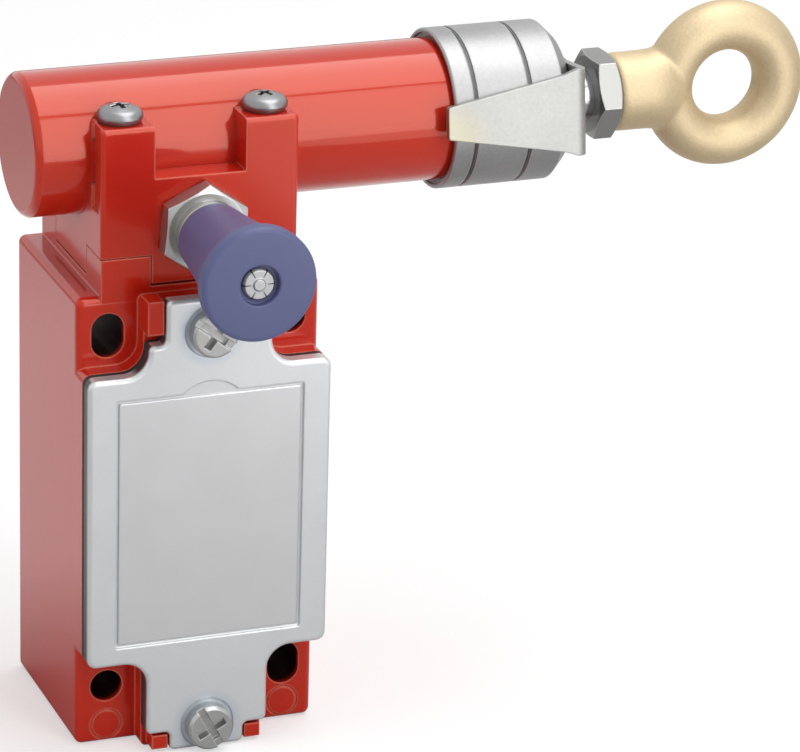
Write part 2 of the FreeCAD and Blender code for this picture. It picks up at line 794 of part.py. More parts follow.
def deck_block(name, spot, gap, low, high):
    """One of the four corner blocks on the deck, or with a gap the room left for it."""
    x_span = side_span(head_half - block_width - gap, head_half + gap, spot[0])
    edge = head_front if spot[1] < 0 else head_back
    inner = edge - (block_depth + gap) * spot[1]
    outer = edge + gap * spot[1]
    y_span = (outer, inner) if spot[1] < 0 else (inner, outer)
    return box(name, x_span, y_span, (low, high))


def housing():
    rough = box("housing_rough", (-housing_half, housing_half), (-pad_depth, 0),
                (-housing_below, housing_above))
    shell = softened("housing_shell", rough, housing_edge, lambda edge: True)
    seat = plate("housing_seat", "XZ_Plane",
                 cover_outline(as_size(0), ([(neck_half, -housing_below)], [(neck_half, housing_above)])),
                 seat_step * 2)
    place(seat, 0, seat_step - pad_depth, 0)
    solids = [shell, seat]
    solids.append(box("housing_deck", (-head_half, head_half), (head_front, head_back),
                      (housing_above - overshoot, deck_top)))
    for spot in block_spots:
        solids.append(deck_block("housing_block", spot, 0, housing_above - overshoot, block_top_z))
    lug_front = (-(seat_depth + lug_rise), overshoot - seat_depth)
    for side in (-1, 1):
        top_lug = side_span(top_tab_half + lug_gap, top_tab_half + lug_gap + lug_width, side)
        low_lug = side_span(bottom_tab_half + lug_gap, bottom_tab_half + lug_gap + lug_width, side)
        solids.append(box("housing_top_lug", top_lug, lug_front,
                          (top_neck_end + lug_edge + lug_lift, housing_above - lug_edge + lug_lift)))
        solids.append(box("housing_low_lug", low_lug, lug_front,
                          (lug_edge - housing_below, -(bottom_neck_end + lug_edge))))
    solid = joined("housing_solid", solids)
    mouth = -(seat_depth + overshoot)
    cavity = box("housing_cavity", (-cavity_half, cavity_half), (mouth, -back_wall),
                 (cavity_bottom, cavity_top))
    holes = [softened("housing_cavity_round", cavity, outer_corner, lambda edge: runs_along(edge, "y"))]
    holes.append(box("housing_wiring_neck", (-neck_cavity_half, neck_cavity_half), (mouth, -back_wall),
                     (entry_floor, cavity_bottom + overshoot)))
    holes.append(rod("housing_entry", "z", entry_radius,
                     (-(housing_below + overshoot), entry_floor + overshoot / 2), (as_size(0), axis_y)))
    through = (-(pad_depth + overshoot), overshoot)
    reach = fixing_slot / 2 - fixing_radius
    for side in (-1, 1):
        holes.append(rod("housing_fixing_hole", "y", fixing_radius, through,
                         (fixing_x * side, fixing_z * side)))
        slot_x = fixing_x * side
        slot_z = -(fixing_z * side)
        for end in (-1, 1):
            holes.append(rod("housing_slot_end", "y", fixing_radius, through,
                             (slot_x, slot_z + reach * end)))
        holes.append(box("housing_slot_middle", (slot_x - fixing_radius, slot_x + fixing_radius), through,
                         (slot_z - reach, slot_z + reach)))
        mark = (-(pad_depth + overshoot), pin_mark_depth - pad_depth)
        holes.append(ring_of("housing_pin_mark", "y", pin_mark_radius, pin_mark_radius - pin_mark_line, mark,
                             (fixing_x * side, pin_mark_radius + pin_mark_edge - housing_below)))
    for height in (cover_screw_top, -cover_screw_bottom):
        holes.append(rod("housing_cover_thread", "y", cover_screw_radius + running_clearance,
                         (mouth, cover_screw_tip + thread_run_out), (as_size(0), height)))
    for spot in block_spots:
        centre, seat = head_screw_place(spot)
        holes.append(rod("housing_head_thread", "z", head_screw_radius + running_clearance,
                         (head_screw_tip - thread_run_out, block_top_z + overshoot), centre))
    for name, pin_x, nose_z, offset in pins:
        holes.append(rod("housing_pin_hole", "z", stem_radius + hole_allowance,
                         (cavity_top - overshoot, deck_top + overshoot), (pin_x, axis_y)))
        holes.append(rod("housing_seal_seat", "z", pin_seal_radius + running_clearance,
                         (deck_top - pin_seal_height, deck_top + overshoot), (pin_x, axis_y)))
    for height in block_screw_heights:
        holes.append(rod("housing_block_thread", "y", block_screw_radius + running_clearance,
                         (-(back_wall + overshoot), thread_run_out - block_screw_tip),
                         (block_screw_x, height)))
    open_shell = cut_from("housing_open", solid, holes)
    boss = ring_of("housing_earth_boss", "y", earth_boss, block_screw_radius + running_clearance,
                   (earth_boss_front, back_wall * -0.9), (earth_x, earth_z))
    return joined("housing", [open_shell, boss])


def cover():
    ends = ([(neck_half, -bottom_neck_end), (bottom_tab_half, -bottom_tab_end)],
            [(neck_half, top_neck_end), (top_tab_half, top_tab_end)])
    blank = plate("cover_blank", "XZ_Plane", cover_outline(as_size(0), ends), cover_thick)
    place(blank, 0, gasket_front, 0)
    front = cover_front.value
    rounded = softened("cover_rounded", blank, cover_edge,
                       lambda edge: abs(edge.BoundBox.YMin - front) < 1e-6 and edge.BoundBox.YLength < 1e-6)
    sunk = (cover_front - overshoot, cover_front + recess_depth)
    recess = box("cover_recess", (-recess_half, recess_half), sunk, (-recess_bottom, recess_top))
    tools = [softened("cover_recess_round", recess, recess_corner, lambda edge: runs_along(edge, "y"))]
    tools.append(rod("cover_thumb_notch", "y", notch_radius, sunk,
                     (as_size(0), recess_top + notch_rise - notch_radius)))
    for height in (cover_screw_top, -cover_screw_bottom):
        spot = (as_size(0), height)
        tools.append(rod("cover_screw_hole", "y", cover_screw_radius + screw_clearance,
                         (cover_front - overshoot, gasket_front + overshoot), spot))
        tools.append(rod("cover_screw_dimple", "y", cover_head_radius + dimple_margin,
                         (cover_front - overshoot, cover_front + dimple_depth), spot))
    return cut_from("cover", rounded, tools)


def cover_gasket():
    edge = gasket_inset
    ends = ([(neck_half - edge, edge - bottom_neck_end), (bottom_tab_half - edge, edge - housing_below)],
            [(neck_half - edge, top_neck_end - edge), (top_tab_half - edge, housing_above - edge)])
    blank = plate("gasket_blank", "XZ_Plane", cover_outline(-edge, ends), gasket_thick)
    place(blank, 0, -seat_depth, 0)
    depth = (gasket_front - overshoot, overshoot - seat_depth)
    tools = [box("gasket_window", (-cavity_half, cavity_half), depth, (cavity_bottom, cavity_top))]
    tools.append(box("gasket_neck_window", (-(neck_half - gasket_land), neck_half - gasket_land), depth,
                     (entry_floor, cavity_bottom + overshoot)))
    for height in (cover_screw_top, -cover_screw_bottom):
        tools.append(rod("gasket_screw_hole", "y", cover_screw_radius + screw_clearance, depth,
                         (as_size(0), height)))
    return cut_from("cover_gasket", blank, tools)


def label_plate():
    half = recess_half - label_margin
    back = cover_front + recess_depth
    blank = box("label_blank", (-half, half), (back - label_thick, back),
                (label_margin - recess_bottom, recess_top - label_margin))
    return softened("label_plate", blank, recess_corner, lambda edge: runs_along(edge, "y"))


def cover_screws():
    screws = []
    for height, spin in ((cover_screw_top, 38), (-cover_screw_bottom, 62)):
        screws.append(flat_screw("cover_screw", "y", -1, cover_front + dimple_depth, (as_size(0), height),
                                 cover_screw_radius, cover_screw_length, cover_head_radius,
                                 cover_head_height, cover_head_edge, cover_slot_depth, spin))
    return group("cover_screws", screws)


def head_block():
    rough = box("head_rough", (-head_half, head_half), (head_front, head_back), (head_base, head_top))
    blank = softened("head_rounded", rough, head_edge,
                     lambda edge: runs_along(edge, "z") or middle(edge).z > head_top.value - 0.01)
    saddle = barrel_radius + saddle_clearance
    tools = [rod("head_saddle", "x", saddle, (-head_width, head_width), shaft_line)]
    tools.append(box("head_valley", (-valley_half, valley_half),
                     (head_front - overshoot, head_back + overshoot), (valley_height, head_top + overshoot)))
    tools.append(box("head_rear_step", (-head_width, head_width), (axis_y, head_back + overshoot),
                     (rear_top, head_top + overshoot)))
    for spot in block_spots:
        tools.append(deck_block("head_notch", spot, block_gap, head_base - overshoot,
                                block_top_z + block_gap))
        centre, seat = head_screw_place(spot)
        tools.append(rod("head_screw_hole", "z", head_screw_radius + screw_clearance,
                         (block_top_z - overshoot, seat + overshoot), centre))
        groove_y = axis_y + (head_half_depth - flank_groove_inset) * spot[1]
        groove_span = side_span(head_half - flank_groove, head_half + overshoot, spot[0])
        tools.append(box("head_flank_groove", groove_span,
                         (groove_y - flank_groove_half, groove_y + flank_groove_half),
                         (block_top_z + flank_groove_rise, head_top + overshoot)))
    half_depth = chamber_depth / 2
    tools.append(box("head_chamber", (-chamber_half, chamber_half),
                     (axis_y - half_depth, axis_y + half_depth), (floor_top, barrel_height)))
    tools.append(box("head_latch_room", (-latch_room_half, latch_room_half), (bushing_back, axis_y),
                     (floor_top, knob_height + bushing_radius + latch_clearance)))
    tools.append(rod("head_bushing_hole", "y", bushing_radius,
                     (head_front - overshoot, bushing_back + overshoot), knob_line))
    for name, pin_x, nose_z, offset in pins:
        tools.append(rod("head_pin_hole", "z", stem_radius + running_clearance,
                         (head_base - overshoot, floor_top + overshoot), (pin_x, axis_y)))
    return cut_from("head_block", blank, tools)


def head_gasket():
    margin = head_gasket_margin
    blank = box("head_gasket_blank", (margin - head_half, head_half - margin),
                (head_front + margin, head_back - margin), (deck_top, head_base))
    tools = [deck_block("head_gasket_notch", spot, block_gap, deck_top - overshoot, head_base + overshoot)
             for spot in block_spots]
    for name, pin_x, nose_z, offset in pins:
        tools.append(rod("head_gasket_hole", "z", stem_radius + hole_allowance,
                         (deck_top - overshoot, head_base + overshoot), (pin_x, axis_y)))
    return cut_from("head_gasket", blank, tools)


def head_screws():
    screws = []
    for spot, spin in zip(block_spots, (8, 20, 33, 71)):
        centre, seat = head_screw_place(spot)
        screws.append(screw("head_screw", "z", 1, seat, centre, head_screw_radius,
                            seat - head_screw_tip, head_head_radius, head_head_height, spin))
    return group("head_screws", screws)


def pin_seals():
    seals = []
    for name, pin_x, nose_z, offset in pins:
        seals.append(ring_of("pin_seal", "z", pin_seal_radius, stem_radius + running_clearance,
                             (deck_top - pin_seal_height, deck_top), (pin_x, axis_y)))
    return group("pin_seals", seals)


def barrel():
    tube = turned("barrel_tube", "x", [
        (-barrel_left, 0),
        (-barrel_left, barrel_radius - barrel_chamfer),
        (barrel_chamfer - barrel_left, barrel_radius, barrel_end_round, -1),
        (barrel_right, barrel_radius),
        (barrel_right, barrel_bore),
        (barrel_inner_left, barrel_bore),
        (barrel_inner_left, 0),
    ], shaft_line)
    room = nose_radius + window_gap
    window = box("barrel_window", (pull_pin_x - room, slack_pin_x + room), (axis_y - room, axis_y + room),
                 (barrel_height - barrel_radius - overshoot, barrel_height - cam_waist))
    tools = [window]
    for spot in block_spots:
        centre, seat = head_screw_place(spot)
        tools.append(rod("barrel_head_pocket", "z", head_head_radius + head_screw_gap,
                         (seat - saddle_clearance, barrel_height + ring_radius), centre))
        tools.append(rod("barrel_shank_scallop", "z", head_screw_radius + screw_clearance,
                         (head_base, seat), centre))
    return cut_from("barrel", tube, tools)


def indicator_ring():
    seat = barrel_radius + saddle_clearance
    base = ring_radius - groove_depth
    corners = [(ring_left, seat + ring_lip), (ring_left, ring_radius - ring_left_chamfer),
               (ring_left + ring_left_chamfer, ring_radius)]
    for groove in (ring_left + first_groove, ring_left + second_groove):
        corners.append((groove, ring_radius))
        corners.append((groove, base))
        corners.append((groove + groove_width, base))
        corners.append((groove + groove_width, ring_radius))
    corners += [
        (ring_right - ring_chamfer, ring_radius),
        (ring_right, ring_radius - ring_chamfer),
        (ring_right, gland_radius),
        (ring_inner, gland_radius),
        (ring_inner, barrel_bore),
        (barrel_right + fitting_gap, barrel_bore),
        (barrel_right + fitting_gap, seat),
        (ring_left + ring_lip, seat),
        (ring_left + ring_lip, seat + ring_lip),
    ]
    return turned("indicator_ring", "x", corners, shaft_line)


def gland_bush():
    return ring_of("gland_bush", "x", gland_radius - saddle_clearance, rod_radius + running_clearance,
                   (ring_inner, ring_inner + gland_length), shaft_line)


def rod_wiper():
    return ring_of("rod_wiper", "x", gland_radius - saddle_clearance, rod_radius + running_clearance,
                   (ring_inner + gland_length + fitting_gap, ring_right - wiper_inset), shaft_line)


def cross_pin_hole(name):
    reach = cam_land + overshoot
    return rod(name, "z", cross_pin_radius + saddle_clearance,
               (barrel_height - reach, barrel_height + reach), (cam_crest + cam_land_length / 2, axis_y))


def pull_shaft():
    blank = turned("shaft_blank", "x", [
        (cam_left, 0),
        (cam_left, cam_shaft_radius),
        (cam_right, cam_shaft_radius),
        (cam_right, rod_radius),
        (shaft_right - shaft_point, rod_radius),
        (shaft_right, rod_radius - shaft_point),
        (shaft_right, 0),
    ], shaft_line)
    return cut_from("pull_shaft", blank, [cross_pin_hole("shaft_pin_hole")])


def cam_sleeve():
    bore = cam_shaft_radius + saddle_clearance
    left_radius = cam_waist + cam_slope * (cam_bottom - cam_left)
    blank = turned("cam_blank", "x", [
        (cam_left, bore),
        (cam_left, left_radius),
        (cam_bottom, cam_waist),
        (cam_crest, cam_land),
        (cam_right, cam_land),
        (cam_right, bore),
    ], shaft_line)
    return cut_from("cam_sleeve", blank, [cross_pin_hole("cam_pin_hole")])


def cam_cross_pin():
    reach = cam_land - cross_pin_inset
    return rod("cam_cross_pin", "z", cross_pin_radius, (barrel_height - reach, barrel_height + reach),
               (cam_crest + cam_land_length / 2, axis_y))


def spring_seat():
    return ring_of("spring_seat", "x", seat_radius, rod_radius + running_clearance, (seat_left, seat_right),
                   shaft_line)


def main_spring():
    return coil("main_spring", "x", main_wire, main_coil, main_turns,
                (seat_right + spring_gap, ring_inner - spring_gap), shaft_line)


def indicator_bracket():
    reach = ring_radius + pointer_gap + sheet_thick
    inner_bend = pointer_bend - sheet_thick
    low = [
        (pointer_tip, -reach),
        (plate_right - pointer_bend, -reach),
        (plate_right, pointer_bend - reach, pointer_bend, 1),
        (plate_right, reach - pointer_bend),
        (plate_right - pointer_bend, reach, pointer_bend, 1),
        (pointer_tip, reach),
        (pointer_tip, reach - sheet_thick),
        (plate_right - pointer_bend, reach - sheet_thick),
        (plate_left, reach - pointer_bend, inner_bend, -1),
        (plate_left, pointer_bend - reach),
        (plate_right - pointer_bend, sheet_thick - reach, inner_bend, -1),
        (pointer_tip, sheet_thick - reach),
    ]
    strap = plate("bracket_strap", "XY_Plane", low, pointer_half * 2)
    place(strap, 0, 0, -pointer_half)
    shoulder = plate_right - pointer_shoulder
    outline = plate("bracket_outline", "XZ_Plane", [
        (pointer_tip, pointer_tip_half - pointer_tip_round),
        (pointer_tip + pointer_tip_round, pointer_tip_half, pointer_tip_round, -1),
        (shoulder, pointer_shoulder_half),
        (plate_right - pointer_bend, pointer_half),
        (plate_right + overshoot, pointer_half),
        (plate_right + overshoot, -pointer_half),
        (plate_right - pointer_bend, -pointer_half),
        (shoulder, -pointer_shoulder_half),
        (pointer_tip + pointer_tip_round, -pointer_tip_half),
        (pointer_tip, pointer_tip_round - pointer_tip_half, pointer_tip_round, -1),
    ], (reach + overshoot) * 2)
    place(outline, 0, reach + overshoot, 0)
    shaped = common("bracket_shaped", [strap, outline])
    hole = rod("bracket_hole", "x", rod_radius + running_clearance,
               (plate_left - overshoot, plate_right + overshoot),
               (as_size(0), as_size(0)))
    bracket = cut_from("indicator_bracket", shaped, [hole])
    swivelled = FreeCAD.Rotation(FreeCAD.Vector(1, 0, 0), swivel_angle.value)
    place(bracket, 0, axis_y, barrel_height, turned=swivelled)
    bracket.setExpression("Placement.Rotation.Angle", swivel_angle.text)
    return bracket


def rod_washer():
    return ring_of("rod_washer", "x", washer_radius, rod_radius + running_clearance,
                   (plate_right, plate_right + washer_thick), shaft_line)


def lock_nut():
    return nut("lock_nut", "x", nut_flats, rod_radius + running_clearance, (nut_left, nut_right),
               shaft_line, lock_nut_turn)


def eye_nut():
    outer = eye_major + eye_minor
    neck_end = eye_x - root(outer * outer - eye_neck_radius * eye_neck_radius)
    taper_end = eye_x - eye_major + overshoot
    neck = turned("eye_neck", "x", [
        (nut_right, 0),
        (nut_right, eye_neck_radius - eye_neck_chamfer),
        (nut_right + eye_neck_chamfer, eye_neck_radius),
        (neck_end, eye_neck_radius),
        (taper_end, eye_minor * 0.95),
        (taper_end, 0),
    ], shaft_line)
    loop = doc.addObject("Part::Torus", "eye_loop")
    bind(loop, Radius1=eye_major, Radius2=eye_minor)
    place(loop, eye_x, axis_y, barrel_height, turned=turn_onto["y"])
    tools = [rod("eye_hole", "y", eye_hole, (axis_y - eye_major, axis_y + eye_major),
                 (eye_x, barrel_height))]
    tools.append(rod("eye_thread", "x", rod_radius + running_clearance,
                     (nut_right - overshoot, shaft_right + thread_run_out), shaft_line))
    return cut_from("eye_nut", joined("eye_body", [neck, loop]), tools)


def pin(name, pin_x, nose_z, offset):
    foot = nose_z - nose_length
    return turned(name + "_pin", "z", [
        (stem_end + offset, 0),
        (stem_end + offset, stem_radius),
        (foot, stem_radius),
        (foot, nose_radius),
        (nose_z, nose_radius),
        (nose_z + nose_radius, 0, nose_radius, 1),
    ], (pin_x, axis_y))


def carrier(name, pin_x, offset):
    block = box(name + "_carrier_block", (pin_x - carrier_half_x, pin_x + carrier_half_x),
                (axis_y - carrier_half_y, axis_y + carrier_half_y),
                (carrier_bottom + offset, carrier_top + offset))
    socket = rod(name + "_carrier_socket", "z", stem_radius + saddle_clearance,
                 (stem_end + offset, carrier_top + offset + overshoot), (pin_x, axis_y))
    half_slot = bridge_half_y + saddle_clearance
    slot = box(name + "_carrier_slot", (pin_x - channel_half_x, pin_x + channel_half_x),
               (axis_y - half_slot, axis_y + half_slot),
               (bridge_top - bridge_thick - saddle_clearance + offset,
                bridge_top + saddle_clearance + offset))
    return cut_from(name + "_carrier", block, [socket, slot])


def bridge(name, pin_x, offset):
    return box(name + "_bridge_contact", (pin_x - bridge_half_x, pin_x + bridge_half_x),
               (axis_y - bridge_half_y, axis_y + bridge_half_y),
               (bridge_top - bridge_thick + offset, bridge_top + offset))


def return_spring(name, pin_x, offset):
    return coil(name + "_spring", "z", contact_wire, contact_coil, contact_turns,
                (channel_low + spring_gap, carrier_bottom + offset - spring_gap), (pin_x, axis_y))


strip_places = [pin_x + strip_offset * side for name, pin_x, nose_z, offset in pins for side in (-1, 1)]


def contact_block():
    blank = box("contact_blank", (-block_half_x, block_half_x), (-block_front, -back_wall),
                (block_bottom, block_top))
    tools = []
    for name, pin_x, nose_z, offset in pins:
        tools.append(box("contact_channel", (pin_x - channel_half_x, pin_x + channel_half_x),
                         (axis_y - channel_half_y, axis_y + channel_half_y),
                         (channel_low, block_top + overshoot)))
    for strip_x in strip_places:
        fit = strip_half + saddle_clearance
        tools.append(box("contact_strip_slot", (strip_x - fit, strip_x + fit),
                         (-(block_front + overshoot), axis_y + bridge_half_y + saddle_clearance),
                         (strip_low - saddle_clearance, strip_high + saddle_clearance)))
        tools.append(rod("contact_terminal_hole", "y", terminal_radius + running_clearance,
                         (-(block_front + overshoot), terminal_length - block_front), (strip_x, terminal_z)))
    for height in block_screw_heights:
        spot = (block_screw_x, height)
        tools.append(rod("contact_screw_hole", "y", block_screw_radius + screw_clearance,
                         (-(block_front + overshoot), overshoot - back_wall), spot))
        tools.append(rod("contact_screw_room", "y", block_screw_head + screw_clearance,
                         (-(block_front + overshoot), block_screw_seat), spot))
    return cut_from("contact_block", blank, tools)


def fixed_contacts():
    strips = []
    for strip_x in strip_places:
        strip = plate("fixed_strip", "YZ_Plane", [
            (axis_y + bridge_half_y, strip_low),
            (axis_y + bridge_half_y, strip_high),
            (-(block_front + strip_thick), strip_high),
            (-(block_front + strip_thick), strip_foot),
            (-block_front, strip_foot),
            (-block_front, strip_low),
        ], strip_half * 2)
        place(strip, strip_x - strip_half, 0, 0)
        strips.append(cut_from("fixed_contact", strip, [
            rod("fixed_contact_hole", "y", terminal_radius + running_clearance,
                (-(block_front + strip_thick + overshoot), overshoot - block_front),
                (strip_x, terminal_z))]))
    return group("fixed_contacts", strips)


def terminal_screws():
    screws = []
    for strip_x in strip_places:
        screws.append(screw("terminal_screw", "y", -1, -(block_front + strip_thick), (strip_x, terminal_z),
                            terminal_radius, terminal_length, terminal_head, terminal_head_height, 45))
    return group("terminal_screws", screws)


def block_screws():
    screws = []
    for height in block_screw_heights:
        screws.append(screw("block_screw", "y", -1, block_screw_seat, (block_screw_x, height),
                            block_screw_radius, -(block_screw_tip + block_screw_seat), block_screw_head,
                            block_screw_head_height))
    return group("block_screws", screws)


def earth_screw():
    return screw("earth_screw", "y", -1, earth_boss_front, (earth_x, earth_z), block_screw_radius,
                 earth_boss_height - earth_screw_inset, block_screw_head, block_screw_head_height,
                 earth_screw_turn)


def reset_bushing():
    outer = bushing_radius - saddle_clearance
    return turned("reset_bushing", "y", [
        (bushing_front, stud_radius + running_clearance),
        (bushing_front, outer - bushing_chamfer),
        (bushing_front + bushing_chamfer, outer),
        (bushing_back, outer),
        (bushing_back, bushing_bore),
        (bushing_shoulder_y, bushing_bore),
        (bushing_shoulder_y, stud_radius + running_clearance),
    ], knob_line)


def reset_nut():
    return nut("reset_nut", "y", reset_nut_flats, bushing_radius, (head_front - reset_nut_thick, head_front),
               knob_line, reset_nut_turn)


def stud_seal():
    return ring_of("stud_seal", "y", bushing_bore - saddle_clearance, stud_radius + running_clearance,
                   (bushing_shoulder_y, stud_seal_back), knob_line)


def reset_knob():
    rim_back = knob_front + knob_rim + knob_rim_round
    flare = knob_disc - knob_neck
    skirt_bore = bushing_radius + knob_skirt_gap
    return turned("reset_knob", "y", [
        (knob_back, stud_radius + saddle_clearance),
        (knob_back, skirt_bore),
        (knob_back + knob_skirt, skirt_bore),
        (knob_back + knob_skirt, knob_neck),
        (rim_back + flare, knob_neck),
        (rim_back, knob_disc, flare, -1),
        (knob_front + knob_rim_round, knob_disc),
        (knob_front, knob_disc - knob_rim_round, knob_rim_round, 1),
        (knob_front, knob_recess),
        (knob_floor, knob_recess),
        (knob_floor, stud_radius + saddle_clearance),
    ], knob_line)


def reset_stud():
    rivet_front = knob_floor - rivet_height
    return turned("reset_stud", "y", [
        (latch_back, 0),
        (latch_back, stud_radius),
        (knob_floor, stud_radius),
        (knob_floor, rivet_radius),
        (knob_floor - rivet_height * 0.5, rivet_radius),
        (rivet_front, rivet_radius - rivet_height * 0.5),
        (rivet_front, nub_radius),
        (rivet_front - nub_height, nub_radius * 0.8),
        (rivet_front - nub_height, 0),
    ], knob_line)


def reset_spring_seat():
    return ring_of("reset_spring_seat", "y", reset_seat_radius, stud_radius + saddle_clearance,
                   (reset_seat_front, reset_seat_y), knob_line)


def reset_spring():
    return coil("reset_spring", "y", reset_wire, reset_coil, reset_turns,
                (stud_seal_back + spring_gap, reset_seat_front - spring_gap), knob_line)


def latch_plate():
    blank = joined("latch_blank", [
        box("latch_upright", (-latch_half, latch_half), (reset_seat_y, latch_back), (latch_low, latch_high)),
        box("latch_tongue", (-latch_tongue_half, latch_tongue_half),
            (latch_back - latch_thick / 2, axis_y - latch_reach), (latch_low, latch_low + latch_thick)),
    ])
    return cut_from("latch_plate", blank, [
        rod("latch_hole", "y", stud_radius + saddle_clearance,
            (reset_seat_y - overshoot, latch_back + overshoot), knob_line)])


makers = [
    housing, cover, cover_gasket, label_plate, cover_screws, head_block, head_gasket, head_screws, pin_seals,
    barrel, indicator_ring, gland_bush, rod_wiper, pull_shaft, cam_sleeve, cam_cross_pin, spring_seat,
    main_spring, indicator_bracket, rod_washer, lock_nut, eye_nut, contact_block, fixed_contacts,
    terminal_screws, block_screws, earth_screw, reset_bushing, reset_nut, stud_seal, reset_knob, reset_stud,
    reset_spring_seat, reset_spring, latch_plate,
]
for maker in makers:
    keep(maker(), maker.__name__)
for name, pin_x, nose_z, offset in pins:
    keep(pin(name, pin_x, nose_z, offset), name + "_pin")
    keep(carrier(name, pin_x, offset), name + "_carrier")
    keep(bridge(name, pin_x, offset), name + "_bridge_contact")
    keep(return_spring(name, pin_x, offset), name + "_spring")

doc.recompute()
for thing in doc.Objects:
    if "Invalid" in thing.State or "Error" in thing.State:
        raise RuntimeError(f"{thing.Label} did not build")
for piece in parts:
    if piece.Shape.isNull() or not piece.Shape.isValid():
        raise RuntimeError(f"{piece.Label} has no valid shape")

os.makedirs("parts", exist_ok=True)
for piece in parts:
    piece.Shape.exportStep(f"parts/{piece.Label}.step")
    bounds = piece.Shape.BoundBox
    print(f"{piece.Label:20s} {len(piece.Shape.Solids)} solids, volume {piece.Shape.Volume:10.2f}, "
          f"x {bounds.XMin:.2f} to {bounds.XMax:.2f}, y {bounds.YMin:.2f} to {bounds.YMax:.2f}, "
          f"z {bounds.ZMin:.2f} to {bounds.ZMax:.2f}")
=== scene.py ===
# %% [markdown]
# # A rope pull switch, dressed for the camera
# The solids of the switch come from its CAD source, and this lesson gives them their finishes, their softer
# forms and a studio. The real switch is a red die casting with a silver cover, a sprung barrel, a forged
# rope eye and a blue reset knob. The solids are loaded first, so that every new piece is placed by them.

import math

import bmesh
import bpy
import numpy as np
from mathutils import Matrix, Vector


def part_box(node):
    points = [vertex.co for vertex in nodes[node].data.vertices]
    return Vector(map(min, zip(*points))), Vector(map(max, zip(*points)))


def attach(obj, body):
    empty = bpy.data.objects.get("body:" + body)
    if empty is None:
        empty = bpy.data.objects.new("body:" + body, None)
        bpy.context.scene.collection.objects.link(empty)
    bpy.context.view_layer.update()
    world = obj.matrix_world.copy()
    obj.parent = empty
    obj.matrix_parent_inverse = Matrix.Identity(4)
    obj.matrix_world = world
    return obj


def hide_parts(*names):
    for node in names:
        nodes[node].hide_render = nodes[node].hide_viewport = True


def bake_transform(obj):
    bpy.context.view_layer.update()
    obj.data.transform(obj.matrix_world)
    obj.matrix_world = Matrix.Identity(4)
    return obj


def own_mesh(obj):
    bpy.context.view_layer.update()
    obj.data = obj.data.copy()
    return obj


MM = 0.001
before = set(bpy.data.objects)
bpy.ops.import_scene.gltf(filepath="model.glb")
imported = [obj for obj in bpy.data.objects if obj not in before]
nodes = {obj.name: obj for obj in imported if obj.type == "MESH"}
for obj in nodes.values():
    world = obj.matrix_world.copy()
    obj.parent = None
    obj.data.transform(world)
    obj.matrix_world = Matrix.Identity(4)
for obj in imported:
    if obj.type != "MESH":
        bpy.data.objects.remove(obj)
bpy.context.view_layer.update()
scene = bpy.context.scene
scene.view_settings.view_transform = "Standard"
print("solids:", len(nodes))

# %% [markdown]
# ## The camera
# The picture was taken with a long lens from the upper left. The place and the three turns below were found
# by matching known corners of the switch, so that the render and the picture can be laid over each other.
# Turning a camera by a look-at target would lose the small roll, so its axes are written out instead.

# %% Camera
PICTURE_WIDTH = 800
FOCAL_PIXELS = 4591.029
SENSOR_MM = 36.0
CAMERA_PLACE = Vector((-215.034, -673.34, 282.734)) * MM
YAW, PITCH, ROLL = 0.37100, -0.36800, 0.02900

forward = Vector((math.sin(YAW) * math.cos(PITCH), math.cos(YAW) * math.cos(PITCH), math.sin(PITCH)))
level = Vector((math.cos(YAW), -math.sin(YAW), 0))
upward = level.cross(forward)
across = level * math.cos(ROLL) + upward * math.sin(ROLL)
up = -level * math.sin(ROLL) + upward * math.cos(ROLL)

camera_data = bpy.data.cameras.new("camera")
camera_data.sensor_width = SENSOR_MM
camera_data.lens = FOCAL_PIXELS / PICTURE_WIDTH * SENSOR_MM
camera_data.clip_start, camera_data.clip_end = 0.05, 20
camera = bpy.data.objects.new("camera", camera_data)
scene.collection.objects.link(camera)
turn = Matrix((across, up, -forward)).transposed()
camera.matrix_world = Matrix.LocRotScale(CAMERA_PLACE, turn.to_quaternion(), None)
scene.camera = camera
print("lens:", round(camera_data.lens, 1), "mm")

# %% [markdown]
# ## Small helpers for shader nodes
# Every finish below is a tree of nodes, and most of a tree is sums, mixes and groups. Written out in full
# they would hide what a finish does, so each kind of node gets one short function that takes sockets or
# plain numbers and gives back the socket to go on with.


# %% Node helpers
def feed(tree, socket, given):
    """Links a socket to another one, or sets it to a number or a colour."""
    if isinstance(given, bpy.types.NodeSocket):
        tree.links.new(given, socket)
    else:
        socket.default_value = given


def math_node(tree, operation, first, second=None, clamp=False):
    """A Math node fed by sockets or numbers. Returns its output socket."""
    node = tree.nodes.new("ShaderNodeMath")
    node.operation = operation
    node.use_clamp = clamp
    feed(tree, node.inputs[0], first)
    if second is not None:
        feed(tree, node.inputs[1], second)
    return node.outputs[0]


def vector_node(tree, operation, first, second=None):
    """A Vector Math node fed by vector sockets."""
    node = tree.nodes.new("ShaderNodeVectorMath")
    node.operation = operation
    tree.links.new(first, node.inputs[0])
    if second is not None:
        tree.links.new(second, node.inputs[1])
    return node


def color_mix(tree, share, first, second):
    """The first colour where the share is 0 and the second where it is 1. Each is a socket or a colour."""
    node = tree.nodes.new("ShaderNodeMix")
    node.data_type = "RGBA"
    tree.links.new(share, node.inputs[0])
    for place, given in ((6, first), (7, second)):
        feed(tree, node.inputs[place], given if isinstance(given, bpy.types.NodeSocket) else (*given, 1))
    return node.outputs[2]


def object_place(tree):
    """The Object coordinates as one vector socket."""
    return tree.nodes.new("ShaderNodeTexCoord").outputs["Object"]


def parts_of(tree, vector):
    """The X, Y and Z sockets of a vector socket."""
    parts = tree.nodes.new("ShaderNodeSeparateXYZ")
    tree.links.new(vector, parts.inputs[0])
    return parts.outputs


